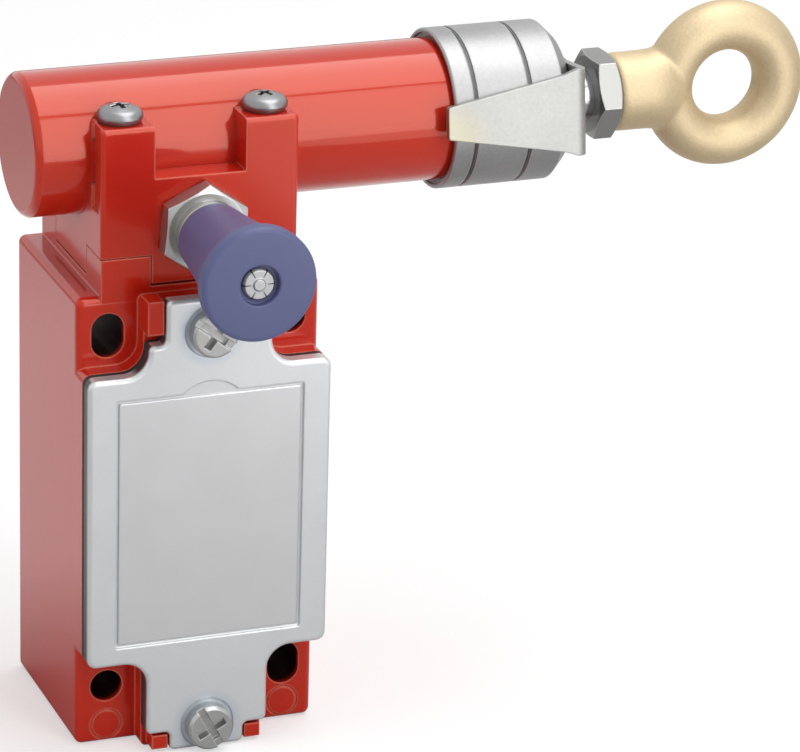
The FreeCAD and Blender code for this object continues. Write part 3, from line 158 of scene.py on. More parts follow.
def distance_to_line(tree, first, second):
    """The root of the sum of two squares."""
    squares = [math_node(tree, "MULTIPLY", side, side) for side in (first, second)]
    return math_node(tree, "SQRT", math_node(tree, "ADD", *squares))


# %% Group helpers
def new_group(name, inputs, outputs):
    """An empty shader group with named float or vector sockets."""
    group = bpy.data.node_groups.new(name, "ShaderNodeTree")
    kinds = {"value": "NodeSocketFloat", "vector": "NodeSocketVector"}
    for label, kind, default in inputs:
        socket = group.interface.new_socket(name=label, in_out="INPUT", socket_type=kinds[kind])
        socket.default_value = default
    for label, kind in outputs:
        group.interface.new_socket(name=label, in_out="OUTPUT", socket_type=kinds[kind])
    return group, group.nodes.new("NodeGroupInput"), group.nodes.new("NodeGroupOutput")


def add_group(tree, group, **values):
    """A node of a group, with the given values on its sockets."""
    node = tree.nodes.new("ShaderNodeGroup")
    node.node_tree = group
    for label, value in values.items():
        node.inputs[label].default_value = value
    return node


# %% [markdown]
# ## Grain
# A casting, a forging and a painted wall all show a fine grain up close, and a slow drift of tone from place
# to place. Both are noise at two scales. The noise is read at Object coordinates, so that it stays on the
# metal when a piece moves, and a stretch turns it into the brush lines of a ground rod.


# %% Grain group
def make_grain_group():
    """Fine and broad noise on Object coordinates: fine for grain, broad for slow drifts of colour."""
    group, start, end = new_group(
        "grain", [("Scale", "value", 1000.0), ("Stretch", "vector", (1.0, 1.0, 1.0))],
        [("Fine", "value"), ("Broad", "value")])
    stretched = vector_node(group, "MULTIPLY", object_place(group), start.outputs["Stretch"])
    for output, share, detail in (("Fine", 1.0, 3.0), ("Broad", 0.06, 2.0)):
        noise = group.nodes.new("ShaderNodeTexNoise")
        noise.inputs["Detail"].default_value = detail
        group.links.new(stretched.outputs[0], noise.inputs["Vector"])
        group.links.new(math_node(group, "MULTIPLY", start.outputs["Scale"], share), noise.inputs["Scale"])
        group.links.new(noise.outputs["Fac"], end.inputs[output])
    return group


grain_group = make_grain_group()
print("group:", grain_group.name)

# %% [markdown]
# ## Edges
# Edges catch the light because they are never quite sharp. The edge group compares the real normal with one
# rounded by the Bevel node, which sees edges across the loose triangles of a solid, where a pointiness value
# would not. Its mask mixes a painted highlight colour into the edges, and the rounded normal is passed on,
# so that the real highlight bends round the edge as well.

# %% Edge group
BEVEL_SAMPLES = 6


def make_edge_group():
    """A mask that is 0 on faces and near 1 on corners, from the angle between two normals."""
    group, start, end = new_group("edges", [("Radius", "value", 0.0004), ("Gain", "value", 6.0)],
                                  [("Mask", "value"), ("Normal", "vector")])
    bevel = group.nodes.new("ShaderNodeBevel")
    bevel.samples = BEVEL_SAMPLES
    group.links.new(start.outputs["Radius"], bevel.inputs["Radius"])
    surface = group.nodes.new("ShaderNodeNewGeometry")
    dot = vector_node(group, "DOT_PRODUCT", bevel.outputs["Normal"], surface.outputs["Normal"])
    away = math_node(group, "SUBTRACT", 1.0, dot.outputs["Value"])
    mask = math_node(group, "MULTIPLY", away, start.outputs["Gain"], clamp=True)
    group.links.new(mask, end.inputs["Mask"])
    group.links.new(bevel.outputs["Normal"], end.inputs["Normal"])
    return group


edge_group = make_edge_group()
print("group:", edge_group.name)

# %% [markdown]
# ## Spots round a line
# Some tints belong to one place only: the painted shade inside a fixing hole, and the painted shading of
# a shallow dimple round a cover screw, darker and bluish.
# All of these lie round a line that runs front to back, so one mask serves them. It could be painted, but a
# painted mask needs an image, while a distance needs none.

# %% Round mask group
FRONT_FADE = 0.0015


def make_round_group():
    """1 near a line along Y and behind a place in Y, 0 elsewhere, with soft borders."""
    group, start, end = new_group(
        "round_mask", [("Centre", "vector", (0, 0, 0)), ("Radius", "value", 0.004),
                       ("Softness", "value", 0.0003), ("Front", "value", -1.0)], [("Mask", "value")])
    offset = vector_node(group, "SUBTRACT", object_place(group), start.outputs["Centre"])
    parts = parts_of(group, offset.outputs[0])
    distance = distance_to_line(group, parts["X"], parts["Z"])
    inside = math_node(group, "SUBTRACT", start.outputs["Radius"], distance)
    near = math_node(group, "DIVIDE", inside, start.outputs["Softness"], clamp=True)
    depth = math_node(group, "SUBTRACT", parts["Y"], start.outputs["Front"])
    behind = math_node(group, "DIVIDE", depth, FRONT_FADE, clamp=True)
    group.links.new(math_node(group, "MULTIPLY", near, behind), end.inputs["Mask"])
    return group


round_group = make_round_group()
print("groups:", [group.name for group in bpy.data.node_groups])

# %% [markdown]
# ## One way to build every finish
# A finish is a colour that drifts a little, a roughness that drifts with it, a grain in the height, and
# edges painted lighter or darker than the faces as a painted highlight. Paint also has a clear coat. One
# function takes these as plain numbers, so that each material below reads like a line in a paint book.

# %% Finish builder
MICRON = 0.000001
WHITE = (1, 1, 1)


def finish(name, color, roughness, metallic=0.0, specular=0.5, grain=1500.0, depth=20, drift=0.06,
           rough_drift=0.08, edge_radius=0.0004, edge_highlight=None, stretch=(1.0, 1.0, 1.0), coat=0.0,
           coat_roughness=0.1, specular_tint=WHITE):
    """A Principled material: colour x (1 + drift x noise), mixed to a painted highlight by the edge mask.

    The depth of the grain is in microns, and the radius of the edges in metres."""
    material = bpy.data.materials.new(name)
    material.use_nodes = True
    tree = material.node_tree
    shader = tree.nodes["Principled BSDF"]
    constants = {"Metallic": metallic, "Specular IOR Level": specular, "Specular Tint": (*specular_tint, 1),
                 "Coat Weight": coat, "Coat Roughness": coat_roughness}
    for label, value in constants.items():
        shader.inputs[label].default_value = value

    noise = add_group(tree, grain_group, Scale=grain, Stretch=stretch)
    edges = add_group(tree, edge_group, Radius=edge_radius)
    darker = [c * (1 - drift) for c in color]
    lighter = [min(c * (1 + drift), 1.0) for c in color]
    both = math_node(tree, "ADD", noise.outputs["Fine"], noise.outputs["Broad"])
    tones = color_mix(tree, math_node(tree, "MULTIPLY", both, 0.5), darker, lighter)
    # Painted highlight: the edge mask mixes a lighter edge colour into the base colour.
    highlighted_tones = color_mix(tree, edges.outputs["Mask"], tones, edge_highlight or color)
    tree.links.new(highlighted_tones, shader.inputs["Base Color"])

    off_middle = math_node(tree, "SUBTRACT", noise.outputs["Broad"], 0.5)
    swing = math_node(tree, "MULTIPLY", off_middle, rough_drift)
    tree.links.new(math_node(tree, "ADD", swing, roughness, clamp=True), shader.inputs["Roughness"])
    bump = tree.nodes.new("ShaderNodeBump")
    bump.inputs["Strength"].default_value = 1.0
    bump.inputs["Distance"].default_value = depth * MICRON
    tree.links.new(noise.outputs["Fine"], bump.inputs["Height"])
    tree.links.new(edges.outputs["Normal"], bump.inputs["Normal"])
    tree.links.new(bump.outputs["Normal"], shader.inputs["Normal"])
    return material


# %% [markdown]
# ## Red paint and silver
# The housing and the head are die castings under a glossy red powder coat, which shows a faint orange peel.
# The barrel is a drawn tube with the same paint but a smoother skin. The cover carries silver paint, the
# label plate is a satin sheet, and the ring and the pointer are bare metal, with a strong drift of tone.

# %% Paint and silver
RED = (0.56, 0.016, 0.005)
TUBE_RED = (0.56, 0.026, 0.012)
# Painted highlight: the lighter red mixed into the edges of both red paints.
RED_EDGE_HIGHLIGHT = (0.80, 0.20, 0.13)
PAINT_SHINE = (1.0, 0.45, 0.28)
casting_red = finish("casting_red", RED, 0.20, specular_tint=PAINT_SHINE, grain=900, depth=6, drift=0.05,
                     edge_radius=0.0005, edge_highlight=RED_EDGE_HIGHLIGHT, coat=0.42, coat_roughness=0.08)
tube_red = finish("tube_red", TUBE_RED, 0.14, specular_tint=PAINT_SHINE, grain=500, depth=2, drift=0.03,
                  edge_radius=0.0003, edge_highlight=RED_EDGE_HIGHLIGHT, coat=0.45, coat_roughness=0.04)
# The edge tints of the silver and bare metal finishes are painted highlights on their edges.
silver_paint = finish("silver_paint", (0.69, 0.70, 0.71), 0.40, metallic=0.6, grain=2600, depth=6,
                      drift=0.05, edge_highlight=(0.86, 0.87, 0.88))
label_silver = finish("label_silver", (0.68, 0.68, 0.69), 0.36, metallic=0.8, grain=3500, depth=1,
                      drift=0.02)
cast_silver = finish("cast_silver", (0.35, 0.35, 0.35), 0.46, metallic=1.0, depth=16, drift=0.22,
                     rough_drift=0.2, edge_highlight=(0.55, 0.55, 0.55))
bracket_steel = finish("bracket_steel", (0.35, 0.35, 0.34), 0.42, metallic=0.9, grain=1800, depth=12,
                       drift=0.24, rough_drift=0.2, edge_highlight=(0.45, 0.45, 0.44), edge_radius=0.0003)
print("finishes so far:", len(bpy.data.materials))

# %% [markdown]
# ## Steel, gold and brass
# Steel parts differ mostly in how bright and how rough they are: the cover screws are plated, the head
# screws and the lock nut are darker, and the rod is ground along its length. The eye is a forging under a
# yellow passivation, so its grain is deep and its colour drifts. All of them are metals in the shader's
# sense, which takes the tint of the reflection from the base colour.

# %% Metals
# Each edge tint among the steels is a painted highlight on the edges.
plated_steel = finish("plated_steel", (0.46, 0.46, 0.455), 0.32, metallic=0.9, grain=2500, depth=4,
                      drift=0.08, edge_highlight=(0.80, 0.79, 0.77), edge_radius=0.00025)
dark_steel = finish("dark_steel", (0.28, 0.28, 0.29), 0.36, metallic=0.95, grain=2500, depth=5, drift=0.12,
                    edge_highlight=(0.55, 0.55, 0.55), edge_radius=0.00025)
rod_steel = finish("rod_steel", (0.42, 0.42, 0.43), 0.16, metallic=1.0, grain=2500, depth=2,
                   stretch=(0.1, 1.0, 1.0))
nut_steel = finish("nut_steel", (0.30, 0.30, 0.29), 0.30, metallic=1.0, grain=2500, depth=4, drift=0.10,
                   edge_highlight=(0.60, 0.60, 0.58), edge_radius=0.00025)
rivet_steel = finish("rivet_steel", (0.42, 0.42, 0.43), 0.36, metallic=0.9, grain=2200, depth=12, drift=0.2,
                     edge_highlight=(0.60, 0.60, 0.60), edge_radius=0.0002)
spring_steel = finish("spring_steel", (0.40, 0.40, 0.41), 0.25, metallic=1.0, grain=2500, depth=2)
forged_gold = finish("forged_gold", (0.61, 0.49, 0.315), 0.56, metallic=0.8, grain=1900, depth=50,
                     drift=0.24, rough_drift=0.2)
bronze = finish("bronze", (0.45, 0.28, 0.14), 0.40, metallic=0.9, grain=2500)
contact_brass = finish("contact_brass", (0.72, 0.52, 0.22), 0.25, metallic=1.0, grain=2500, depth=3)
print("finishes so far:", len(bpy.data.materials))

# %% [markdown]
# ## Plastic and rubber
# The knob is moulded in blue with a matt skin, and its edges carry a painted highlight, a shade lighter than
# its faces. The seals are dull and nearly black. A dull finish needs a high roughness and a weak reflection,
# since a low roughness on a dark colour looks wet.

# %% Plastics
# The knob's edge tint is a painted highlight on its edges.
blue_plastic = finish("blue_plastic", (0.094, 0.106, 0.235), 0.44, grain=3000, depth=4, drift=0.05,
                      edge_highlight=(0.13, 0.14, 0.30))
bushing_yellow = finish("bushing_yellow", (0.98, 0.95, 0.50), 0.30, grain=2500, depth=3)
dark_rubber = finish("dark_rubber", (0.03, 0.03, 0.032), 0.7, specular=0.3, grain=2500, depth=10, drift=0.12)
white_plastic = finish("white_plastic", (0.75, 0.75, 0.72), 0.40, grain=2500, depth=3)
dark_plastic = finish("dark_plastic", (0.03, 0.03, 0.032), 0.42, grain=2500, depth=5)
print("finishes:", len(bpy.data.materials))

# %% [markdown]
# ## Tints that sit in one place
# A hole gets painted shade inside, darker than any lamp makes it, the cover's left flank gets painted shade,
# the shallow dimple round each cover screw is painted as a darker, bluish shading, the ring is darker along
# its two grooves, and the rivet was staked with a punch that left radial marks. Each is a mask worked out
# from the Object coordinates, laid over the base colour of one finish.


# %% Tint helpers
def mix_in(material, mask, tint):
    """Mixes a tint into the base colour of a material by a mask socket."""
    tree = material.node_tree
    base = tree.nodes["Principled BSDF"].inputs["Base Color"]
    tree.links.new(color_mix(tree, mask, base.links[0].from_socket, tint), base)


def tint_near(material, centres, tint, radius, softness=0.0003, front=-1.0, amount=1.0):
    """Mixes a tint into the base colour round lines along Y through the given (x, z) places."""
    tree = material.node_tree
    for x, z in centres:
        spot = add_group(tree, round_group, Centre=(x * MM, 0, z * MM), Radius=radius, Softness=softness,
                         Front=front)
        mix_in(material, math_node(tree, "MULTIPLY", spot.outputs["Mask"], amount), tint)


def paint_shade_on_left_sides(material, tint, front, fade, lean=-0.35, gain=4.0):
    """Paints shade on faces towards -X behind a place in Y: (lean - normal's x) x gain, faded in with depth.
    """
    tree = material.node_tree
    surface = tree.nodes.new("ShaderNodeNewGeometry")
    leftward = math_node(tree, "SUBTRACT", lean, parts_of(tree, surface.outputs["Normal"])["X"])
    left = math_node(tree, "MULTIPLY", leftward, gain, clamp=True)
    depth = math_node(tree, "SUBTRACT", parts_of(tree, object_place(tree))["Y"], front)
    behind = math_node(tree, "DIVIDE", depth, fade, clamp=True)
    mix_in(material, math_node(tree, "MULTIPLY", left, behind), tint)


def dark_bands(material, places, half_width, tint):
    """Mixes a tint in where X lies within half a width of the given places, in millimetres."""
    tree = material.node_tree
    along = parts_of(tree, object_place(tree))["X"]
    for place in places:
        offset = math_node(tree, "ABSOLUTE", math_node(tree, "SUBTRACT", along, place * MM))
        mix_in(material, math_node(tree, "LESS_THAN", offset, half_width * MM), tint)


def staking_marks(material, height, count, inner, outer, tint, share_of_turn=0.045):
    """Dark radial ticks round a line along Y: the angle times count / 2 pi, near each whole number."""
    tree = material.node_tree
    parts = parts_of(tree, object_place(tree))
    rise = math_node(tree, "SUBTRACT", parts["Z"], height)
    angle = math_node(tree, "ARCTAN2", rise, parts["X"])
    share = math_node(tree, "FRACT", math_node(tree, "MULTIPLY", angle, count / (2 * math.pi)))
    tick = math_node(tree, "LESS_THAN", math_node(tree, "PINGPONG", share, 0.5), share_of_turn)
    distance = distance_to_line(tree, parts["X"], rise)
    ring = math_node(tree, "MULTIPLY", math_node(tree, "GREATER_THAN", distance, inner),
                     math_node(tree, "LESS_THAN", distance, outer))
    mix_in(material, math_node(tree, "MULTIPLY", tick, ring), tint)


# %% Tints
FIXING_HOLES = [(x, z) for x in (-15, 15) for z in (-30, 30)]
COVER_SCREWS = [(0, 31.5), (0, -35.8)]
POINTER_TIP = [(42.5, 56)]
RING_GROOVES = (47.3, 56.7)
HOLE_FRONT, COVER_BACK, STUD_HEIGHT = -0.033, -0.0391, 0.04675
# Painted shade inside the four fixing holes.
tint_near(casting_red, FIXING_HOLES, (0.02, 0.006, 0.005), 0.0043, front=HOLE_FRONT)
# Painted shading of a shallow dimple round each cover screw, darker and bluish.
tint_near(silver_paint, COVER_SCREWS, (0.46, 0.56, 0.66), 0.0062, softness=0.002, amount=0.55)
tint_near(bracket_steel, POINTER_TIP, (0.42, 0.38, 0.24), 0.007, softness=0.004, amount=0.5)
# Painted shade on the cover's left flank, which faces away from the lamps.
paint_shade_on_left_sides(silver_paint, (0.09, 0.09, 0.09), COVER_BACK, fade=0.0007)
dark_bands(cast_silver, RING_GROOVES, 0.27, (0.13, 0.13, 0.13))
staking_marks(rivet_steel, STUD_HEIGHT, count=6, inner=0.0013, outer=0.0026, tint=(0.04, 0.04, 0.045))
print("tints:", len(FIXING_HOLES) + len(COVER_SCREWS) + len(POINTER_TIP) + len(RING_GROOVES) + 2)

# %% [markdown]
# ## Which part gets which finish
# The real switch is bought in parts: castings are painted before they are put together, and screws and seals
# come ready. So each solid has one finish over all its faces, and a list of names says it all.

# %% Finish of each solid
finish_of = {
    casting_red: ["housing", "head_block"],
    tube_red: ["barrel"],
    silver_paint: ["cover"],
    label_silver: ["label_plate"],
    cast_silver: ["indicator_ring"],
    bracket_steel: ["indicator_bracket"],
    plated_steel: ["cover_screws", "rod_washer", "reset_nut", "earth_screw", "terminal_screws",
                   "block_screws", "spring_seat", "cam_cross_pin", "reset_spring_seat", "latch_plate"],
    nut_steel: ["lock_nut"],
    rivet_steel: ["reset_stud"],
    dark_steel: ["head_screws"],
    rod_steel: ["pull_shaft", "cam_sleeve"],
    forged_gold: ["eye_nut"],
    blue_plastic: ["reset_knob"],
    bushing_yellow: ["reset_bushing"],
    bronze: ["gland_bush"],
    dark_rubber: ["cover_gasket", "head_gasket", "pin_seals", "rod_wiper", "stud_seal"],
    white_plastic: ["pull_pin", "slack_pin", "pull_carrier", "slack_carrier"],
    dark_plastic: ["contact_block"],
    contact_brass: ["fixed_contacts", "pull_bridge_contact", "slack_bridge_contact"],
    spring_steel: ["main_spring", "reset_spring", "pull_spring", "slack_spring"],
}
for material, names in finish_of.items():
    for name in names:
        nodes[name].data.materials.clear()
        nodes[name].data.materials.append(material)
dressed = {name for names in finish_of.values() for name in names}
print("nodes without a finish:", sorted(set(nodes) - dressed))

# %% [markdown]
# ## Surfaces from numbers
# All new pieces are swept or turned shapes. Each is a grid of points worked out by a formula of two
# parameters, and one helper joins neighbouring points into four-sided faces. Open ends are closed with one
# many-sided face each, so that a piece is a closed solid.


# %% Grid helper
def grid_mesh(name, points, wrap_rows=False):
    """A mesh from a rows x columns x 3 array in millimetres. Columns wrap round; rows may too."""
    rows, columns = points.shape[:2]
    index = np.arange(rows * columns).reshape(rows, columns)
    ahead = np.roll(index, -1, axis=0) if wrap_rows else index[1:]
    here = index if wrap_rows else index[:-1]
    faces = np.stack([here, np.roll(here, -1, axis=1), np.roll(ahead, -1, axis=1), ahead], axis=-1)
    polygons = faces.reshape(-1, 4).tolist()
    if not wrap_rows:
        polygons += [index[0][::-1].tolist(), index[-1].tolist()]
    mesh = bpy.data.meshes.new(name)
    mesh.from_pydata((points.reshape(-1, 3) * MM).tolist(), [], polygons)
    work = bmesh.new()
    work.from_mesh(mesh)
    bmesh.ops.recalc_face_normals(work, faces=work.faces)
    work.to_mesh(mesh)
    work.free()
    mesh.shade_smooth()
    thing = bpy.data.objects.new(name, mesh)
    scene.collection.objects.link(thing)
    return thing


def around(columns):
    """Angles once round, as one row."""
    return np.linspace(0, 2 * np.pi, columns, endpoint=False)[None, :]


# %% [markdown]
# ## The springs
# A coil spring shortens when its joint moves, and a rigid solid can't. Each spring is therefore made again
# as a wire carried along a helix, in the place of its solid, which is hidden. The slack-side spring grows
# longer as its pin rises; its wire is made the same way and is not attached to a body.

# %% Spring maker
AXES = {"x": (0, 1, 2), "y": (1, 2, 0), "z": (2, 0, 1)}
SPRING_GAP = 0.22
STEPS_PER_TURN, WIRE_SIDES = 40, 12


def spring(name, axis, wire, radius, turns):
    """Wire round a helix in a solid's place: (r cos t, r sin t, pitch t) plus the wire's own circle."""
    low, high = (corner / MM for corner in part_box(name))
    along, first, second = AXES[axis]
    middle = (low + high) / 2
    start, end = low[along] + SPRING_GAP + wire, high[along] - SPRING_GAP - wire
    angle = np.linspace(0, turns * 2 * np.pi, int(turns * STEPS_PER_TURN) + 1)
    pitch = (end - start) / angle[-1]
    lean = math.atan2(pitch, radius)
    out = radius + wire * np.cos(around(WIRE_SIDES))
    rise = wire * np.sin(around(WIRE_SIDES))
    turned_by = angle[:, None] - rise * math.sin(lean) / radius
    points = np.empty((*turned_by.shape, 3))
    points[..., along] = start + pitch * angle[:, None] + rise * math.cos(lean)
    points[..., first] = middle[first] + out * np.cos(turned_by)
    points[..., second] = middle[second] + out * np.sin(turned_by)
    coil = grid_mesh(name + "_wire", points)
    coil.data.materials.append(spring_steel)
    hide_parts(name)
    return coil


# %% Springs
# Axis, wire and coil radius in mm, turns, the joint, the fixed end in metres, the length kept at its limit
spring_kinds = {
    "main_spring": ("x", 0.8, 7.3, 9, "rope_pull", 0.0606, 0.655),
    "reset_spring": ("y", 0.35, 3.2, 5, "reset_pull", -0.0368, 0.574),
    "pull_spring": ("z", 0.3, 1.7, 7, "pull_follower", -0.010, 0.792),
}
for name, (axis, wire, radius, turns, joint, fixed, keep) in spring_kinds.items():
    coil = spring(name, axis, wire, radius, turns)
    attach(coil, "switch_body")
    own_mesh(coil)

slack = spring("slack_spring", "z", 0.3, 1.7, 7)
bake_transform(slack)
print("springs:", list(spring_kinds) + ["slack_spring"])

# %% [markdown]
# ## The rope eye
# The eye is forged in one piece with its socket, so the ring flows into the neck with soft hollows. A ring
# swept by a circle and a neck turned about the shaft are laid into each other, remeshed as one skin and
# relaxed, which fills the corner between them the way a forging die does.

# %% Eye shapes
EYE_CENTRE = np.array([95.7, -17.0, 57.07])
EYE_MAJOR, EYE_MINOR = 9.9, 4.15
NECK_START, NECK_RADIUS = 75.2, 6.45
NECK_STATIONS = [
    (NECK_START, 5.9, 5.9), (NECK_START + 0.5, 6.3, 6.3), (NECK_START + 1.0, NECK_RADIUS, NECK_RADIUS),
    (79.0, NECK_RADIUS, NECK_RADIUS), (81.5, 6.5, 6.35), (83.0, 6.7, 6.0), (84.5, 7.1, 5.4),
    (86.0, 6.8, 4.7), (87.5, 5.0, 4.0), (88.6, 3.0, 3.0)]


def ring_points(major, minor, rows=160, columns=48):
    """A ring about Y: centre + (major + minor cos v)(cos u, 0, sin u) + minor sin v along Y."""
    u, v = around(rows).T, around(columns)
    out = major + minor * np.cos(v)
    return np.stack([out * np.cos(u), minor * np.sin(v) + 0 * u, out * np.sin(u)], -1) + EYE_CENTRE


def neck_points(stations, columns=72):
    """Ovals along X: each station is (x, half height in Z, half depth in Y)."""
    x, tall, deep = (np.array(column)[:, None] for column in zip(*stations))
    angle = around(columns)
    return np.stack([x + 0 * angle, EYE_CENTRE[1] + deep * np.sin(angle),
                     EYE_CENTRE[2] + tall * np.cos(angle)], -1)


ring = grid_mesh("eye_ring", ring_points(EYE_MAJOR, EYE_MINOR), wrap_rows=True)
neck = grid_mesh("eye_neck", neck_points(NECK_STATIONS))
print("ring and neck faces:", len(ring.data.polygons), len(neck.data.polygons))

# %% Eye skin
SKIN_VOXEL = 0.3 * MM
RELAX_FACTOR, RELAX_ROUNDS = 0.5, 14
work = bmesh.new()
for scrap in (ring, neck):
    work.from_mesh(scrap.data)
    bpy.data.objects.remove(scrap)
eye_mesh = bpy.data.meshes.new("rope_eye")
work.to_mesh(eye_mesh)
work.free()
eye = bpy.data.objects.new("rope_eye", eye_mesh)
scene.collection.objects.link(eye)
skin = eye.modifiers.new("skin", "REMESH")
skin.mode = "VOXEL"
skin.voxel_size = SKIN_VOXEL
skin.use_smooth_shade = True
relax = eye.modifiers.new("relax", "SMOOTH")
relax.factor = RELAX_FACTOR
relax.iterations = RELAX_ROUNDS
eye_mesh = bpy.data.meshes.new_from_object(eye.evaluated_get(bpy.context.evaluated_depsgraph_get()))
eye.modifiers.clear()
eye.data = eye_mesh
eye_mesh.materials.clear()
eye_mesh.materials.append(forged_gold)
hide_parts("eye_nut")
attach(eye, "pull_shaft")
print("eye faces:", len(eye_mesh.polygons))

# %% [markdown]
# ## The reset knob
# The knob is a trumpet. Its slim root meets a yellow ring on the end of the bushing, and its neck widens in
# a cone and then in an arc to the disc. The solid has a plain neck with a skirt over the bushing instead,
# so the knob and the bushing are turned anew, and the bushing's bare wall shows behind the ring.

# %% Places and radii, in millimetres
knob_low, knob_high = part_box("reset_knob")
KNOB_HEIGHT = (knob_low.z + knob_high.z) / 2 / MM
KNOB_FRONT = knob_low.y / MM
NUT_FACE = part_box("reset_nut")[0].y / MM
BUSHING_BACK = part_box("reset_bushing")[1].y / MM
KNOB_ROOT, DISC_BACK = -39.06, -59.4
RING_FRONT, RING_BACK, SEAL_SEAT = KNOB_ROOT + 0.03, -38.5, -38.0
ROOT_RADIUS, CONE_RISE, DISC_RADIUS = 5.7, 1.7, 9.15
RIM_ROUND, ROOT_STEP, EDGE_BREAK = 0.8, 0.34, 0.15
RECESS_RADIUS, RECESS_FLOOR = 3.25, KNOB_FRONT + 1.2
STUD_HOLE, BUSHING_HOLE, SEAL_BORE = 2.05, 2.1, 4.0
BUSHING_WALL, BUSHING_SEAT, RING_RADIUS = 5.15, 5.26, 5.37
SHARP_ANGLE = math.radians(35)
print("knob from", round(KNOB_FRONT, 2), "to", KNOB_ROOT, "mm")


# %% Turned pieces
def turned(name, profile, columns=96):
    """A closed profile of (y, radius) turned about the knob's line: (r sin t, y, height + r cos t)."""
    places, radii = (np.array(column)[:, None] for column in zip(*profile))
    angle = around(columns)
    heights = KNOB_HEIGHT + radii * np.cos(angle)
    points = np.stack([radii * np.sin(angle), places + 0 * angle, heights], -1)
    piece = grid_mesh(name, points, wrap_rows=True)
    piece.data.set_sharp_from_angle(angle=SHARP_ANGLE)
    return piece


def trumpet(start, end, radius, cone, disc, count=28):
    """Radius along the neck: radius + cone s + flare (1 - sqrt(1 - s s)), with s from 0 to 1."""
    share = np.linspace(0, 1, count)
    flare = disc - radius - cone
    radii = radius + cone * share + flare * (1 - np.sqrt(1 - share * share))
    return list(zip(start + (end - start) * share, radii))


root_edge = [(KNOB_ROOT, STUD_HOLE), (KNOB_ROOT, ROOT_RADIUS - 0.4), (KNOB_ROOT - 0.1, ROOT_RADIUS - 0.2)]
flared_neck = trumpet(KNOB_ROOT - ROOT_STEP, DISC_BACK, ROOT_RADIUS, CONE_RISE, DISC_RADIUS)
rim = [(KNOB_FRONT + RIM_ROUND - RIM_ROUND * math.sin(t), DISC_RADIUS - RIM_ROUND + RIM_ROUND * math.cos(t))
       for t in np.linspace(0, math.pi / 2, 9)]
recess = [(KNOB_FRONT, RECESS_RADIUS + EDGE_BREAK), (KNOB_FRONT + EDGE_BREAK, RECESS_RADIUS),
          (RECESS_FLOOR, RECESS_RADIUS), (RECESS_FLOOR, STUD_HOLE)]
knob = turned("knob", root_edge + flared_neck + rim + recess)
collar = turned("bushing_collar", [
    (RING_BACK, BUSHING_HOLE), (RING_BACK, BUSHING_WALL), (NUT_FACE, BUSHING_WALL),
    (NUT_FACE + 0.05, BUSHING_SEAT), (BUSHING_BACK, BUSHING_SEAT), (BUSHING_BACK, SEAL_BORE),
    (SEAL_SEAT, SEAL_BORE), (SEAL_SEAT, BUSHING_HOLE)])
end_ring = turned("bushing_ring", [
    (RING_FRONT, BUSHING_HOLE), (RING_FRONT, RING_RADIUS - 0.07), (RING_FRONT + 0.07, RING_RADIUS),
    (RING_BACK - 0.01, RING_RADIUS), (RING_BACK - 0.01, BUSHING_HOLE)])
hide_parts("reset_knob")
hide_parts("reset_bushing")
for piece, body, material, slot in ((knob, "reset", blue_plastic, "blue_plastic"),
                                    (collar, "switch_body", plated_steel, "plated_steel"),
                                    (end_ring, "switch_body", bushing_yellow, "bushing_brass")):
    piece.data.materials.append(material)
    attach(piece, body)
print("knob faces:", len(knob.data.polygons))

# %% [markdown]
# ## The white sheet
# The switch stands on white paper that runs out to a white background. Lit paper alone would come out grey
# far from the lamps, so it also glows a little, and more so beyond 60 cm, but only for the camera. A strip
# of it behind the switch glows for reflections too, and brightens the underside of the barrel.

# %% Floor
FLOOR_HEIGHT, FLOOR_SIZE, FLOOR_GREY = -0.0402, 6, 0.58
CAMERA_GLOW, PALE_FROM = 0.5, 0.6
STRIP_GLOW, STRIP_RISE, STRIP_END, STRIP_FALL = 0.28, 0.04, 0.27, 0.12
bpy.ops.mesh.primitive_plane_add(size=FLOOR_SIZE, location=(0, 0, FLOOR_HEIGHT))
floor = bpy.context.object
floor.name = "floor"
paper = bpy.data.materials.new("paper")
paper.use_nodes = True
tree = paper.node_tree
sheet = tree.nodes["Principled BSDF"]
sheet.inputs["Base Color"].default_value = (FLOOR_GREY, FLOOR_GREY, FLOOR_GREY, 1)
sheet.inputs["Roughness"].default_value = 0.9
sheet.inputs["Specular IOR Level"].default_value = 0.1
sheet.inputs["Emission Color"].default_value = (*WHITE, 1)

place = object_place(tree)
backward = parts_of(tree, place)["Y"]
near_end = math_node(tree, "DIVIDE", backward, STRIP_RISE, clamp=True)
far_end = math_node(tree, "DIVIDE", math_node(tree, "SUBTRACT", STRIP_END, backward), STRIP_FALL, clamp=True)
strip = math_node(tree, "MULTIPLY", near_end, far_end)
reach = vector_node(tree, "LENGTH", place).outputs["Value"]
far_away = math_node(tree, "SUBTRACT", reach, PALE_FROM, clamp=True)
paleness = math_node(tree, "ADD", math_node(tree, "MULTIPLY", far_away, 1 - CAMERA_GLOW), CAMERA_GLOW)
rays = tree.nodes.new("ShaderNodeLightPath")
mirrored = math_node(tree, "MULTIPLY", rays.outputs["Is Glossy Ray"], strip)
glow = math_node(tree, "ADD", math_node(tree, "MULTIPLY", mirrored, STRIP_GLOW),
                 math_node(tree, "MULTIPLY", rays.outputs["Is Camera Ray"], paleness))
tree.links.new(glow, sheet.inputs["Emission Strength"])
floor.data.materials.append(paper)
print("floor at", FLOOR_HEIGHT, "m")

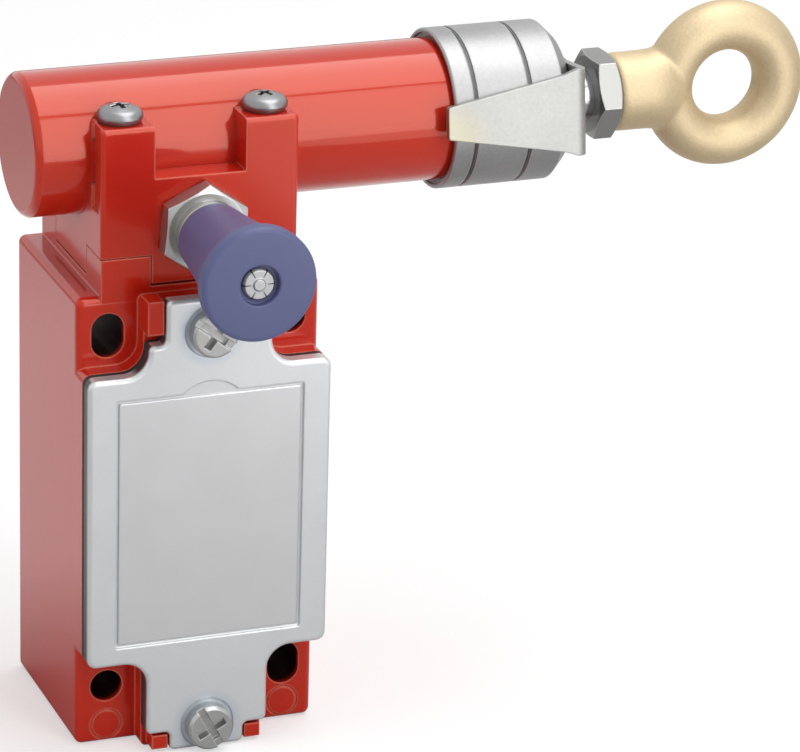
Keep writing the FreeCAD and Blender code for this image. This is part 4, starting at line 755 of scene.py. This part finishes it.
# %% [markdown]
# ## The background
# The background is white to the camera and to reflections, but lights the switch with less than a third of
# that, since the lamps do the lighting. The Light Path node tells these rays apart, where a dimmer colour
# would turn the background grey.

# %% World
WORLD_LIGHT = 0.30
world = bpy.data.worlds.new("studio")
scene.world = world
world.use_nodes = True
tree = world.node_tree
background = tree.nodes["Background"]
background.inputs["Color"].default_value = (*WHITE, 1)
rays = tree.nodes.new("ShaderNodeLightPath")
seen = rays.outputs["Is Camera Ray"]
for kind in ("Is Glossy Ray", "Is Transmission Ray"):
    seen = math_node(tree, "MAXIMUM", seen, rays.outputs[kind])
strength = math_node(tree, "ADD", math_node(tree, "MULTIPLY", seen, 1 - WORLD_LIGHT), WORLD_LIGHT)
tree.links.new(strength, background.inputs["Strength"])
print("background light:", WORLD_LIGHT)

# %% [markdown]
# ## The lamps
# Large soft panels stand above, in front and low in front, and show as pale bands in the glossy paint, as
# they do in the picture. Their edges nearly meet, because a gap between two of them is mirrored as a dark
# line along the barrel. A panel on the left fills the housing's side and is hidden from reflections.


# %% Lamps
def panel(name, place, target, size, brightness):
    """A soft rectangular lamp. Its power is brightness x pi x area, so 1 is as bright as white paper."""
    light = bpy.data.lights.new(name, "AREA")
    light.shape = "RECTANGLE"
    light.size, light.size_y = size
    light.energy = brightness * math.pi * size[0] * size[1]
    thing = bpy.data.objects.new(name, light)
    scene.collection.objects.link(thing)
    thing.location = place
    thing.rotation_euler = (Vector(target) - Vector(place)).to_track_quat("-Z", "Y").to_euler()
    return thing


panel("overhead_panel", (0.30, -0.04, 0.90), (0.30, -0.04, 0.0), (0.6, 0.91), 3.3)
panel("front_panel", (0.38, -1.02, 0.545), (0.03, -0.02, 0.06), (0.45, 1.265), 3.0)
panel("low_panel", (0.39, -0.83, -0.03), (0.39, -0.83, 1.0), (0.6, 0.95), 3.0)
panel("near_panel", (0.39, -0.27, -0.03), (0.39, -0.27, 1.0), (0.6, 0.16), 1.3)
side = panel("side_panel", (-1.0, -0.25, 0.30), (0.0, -0.02, 0.02), (0.8, 0.8), 1.65)
side.visible_glossy = False
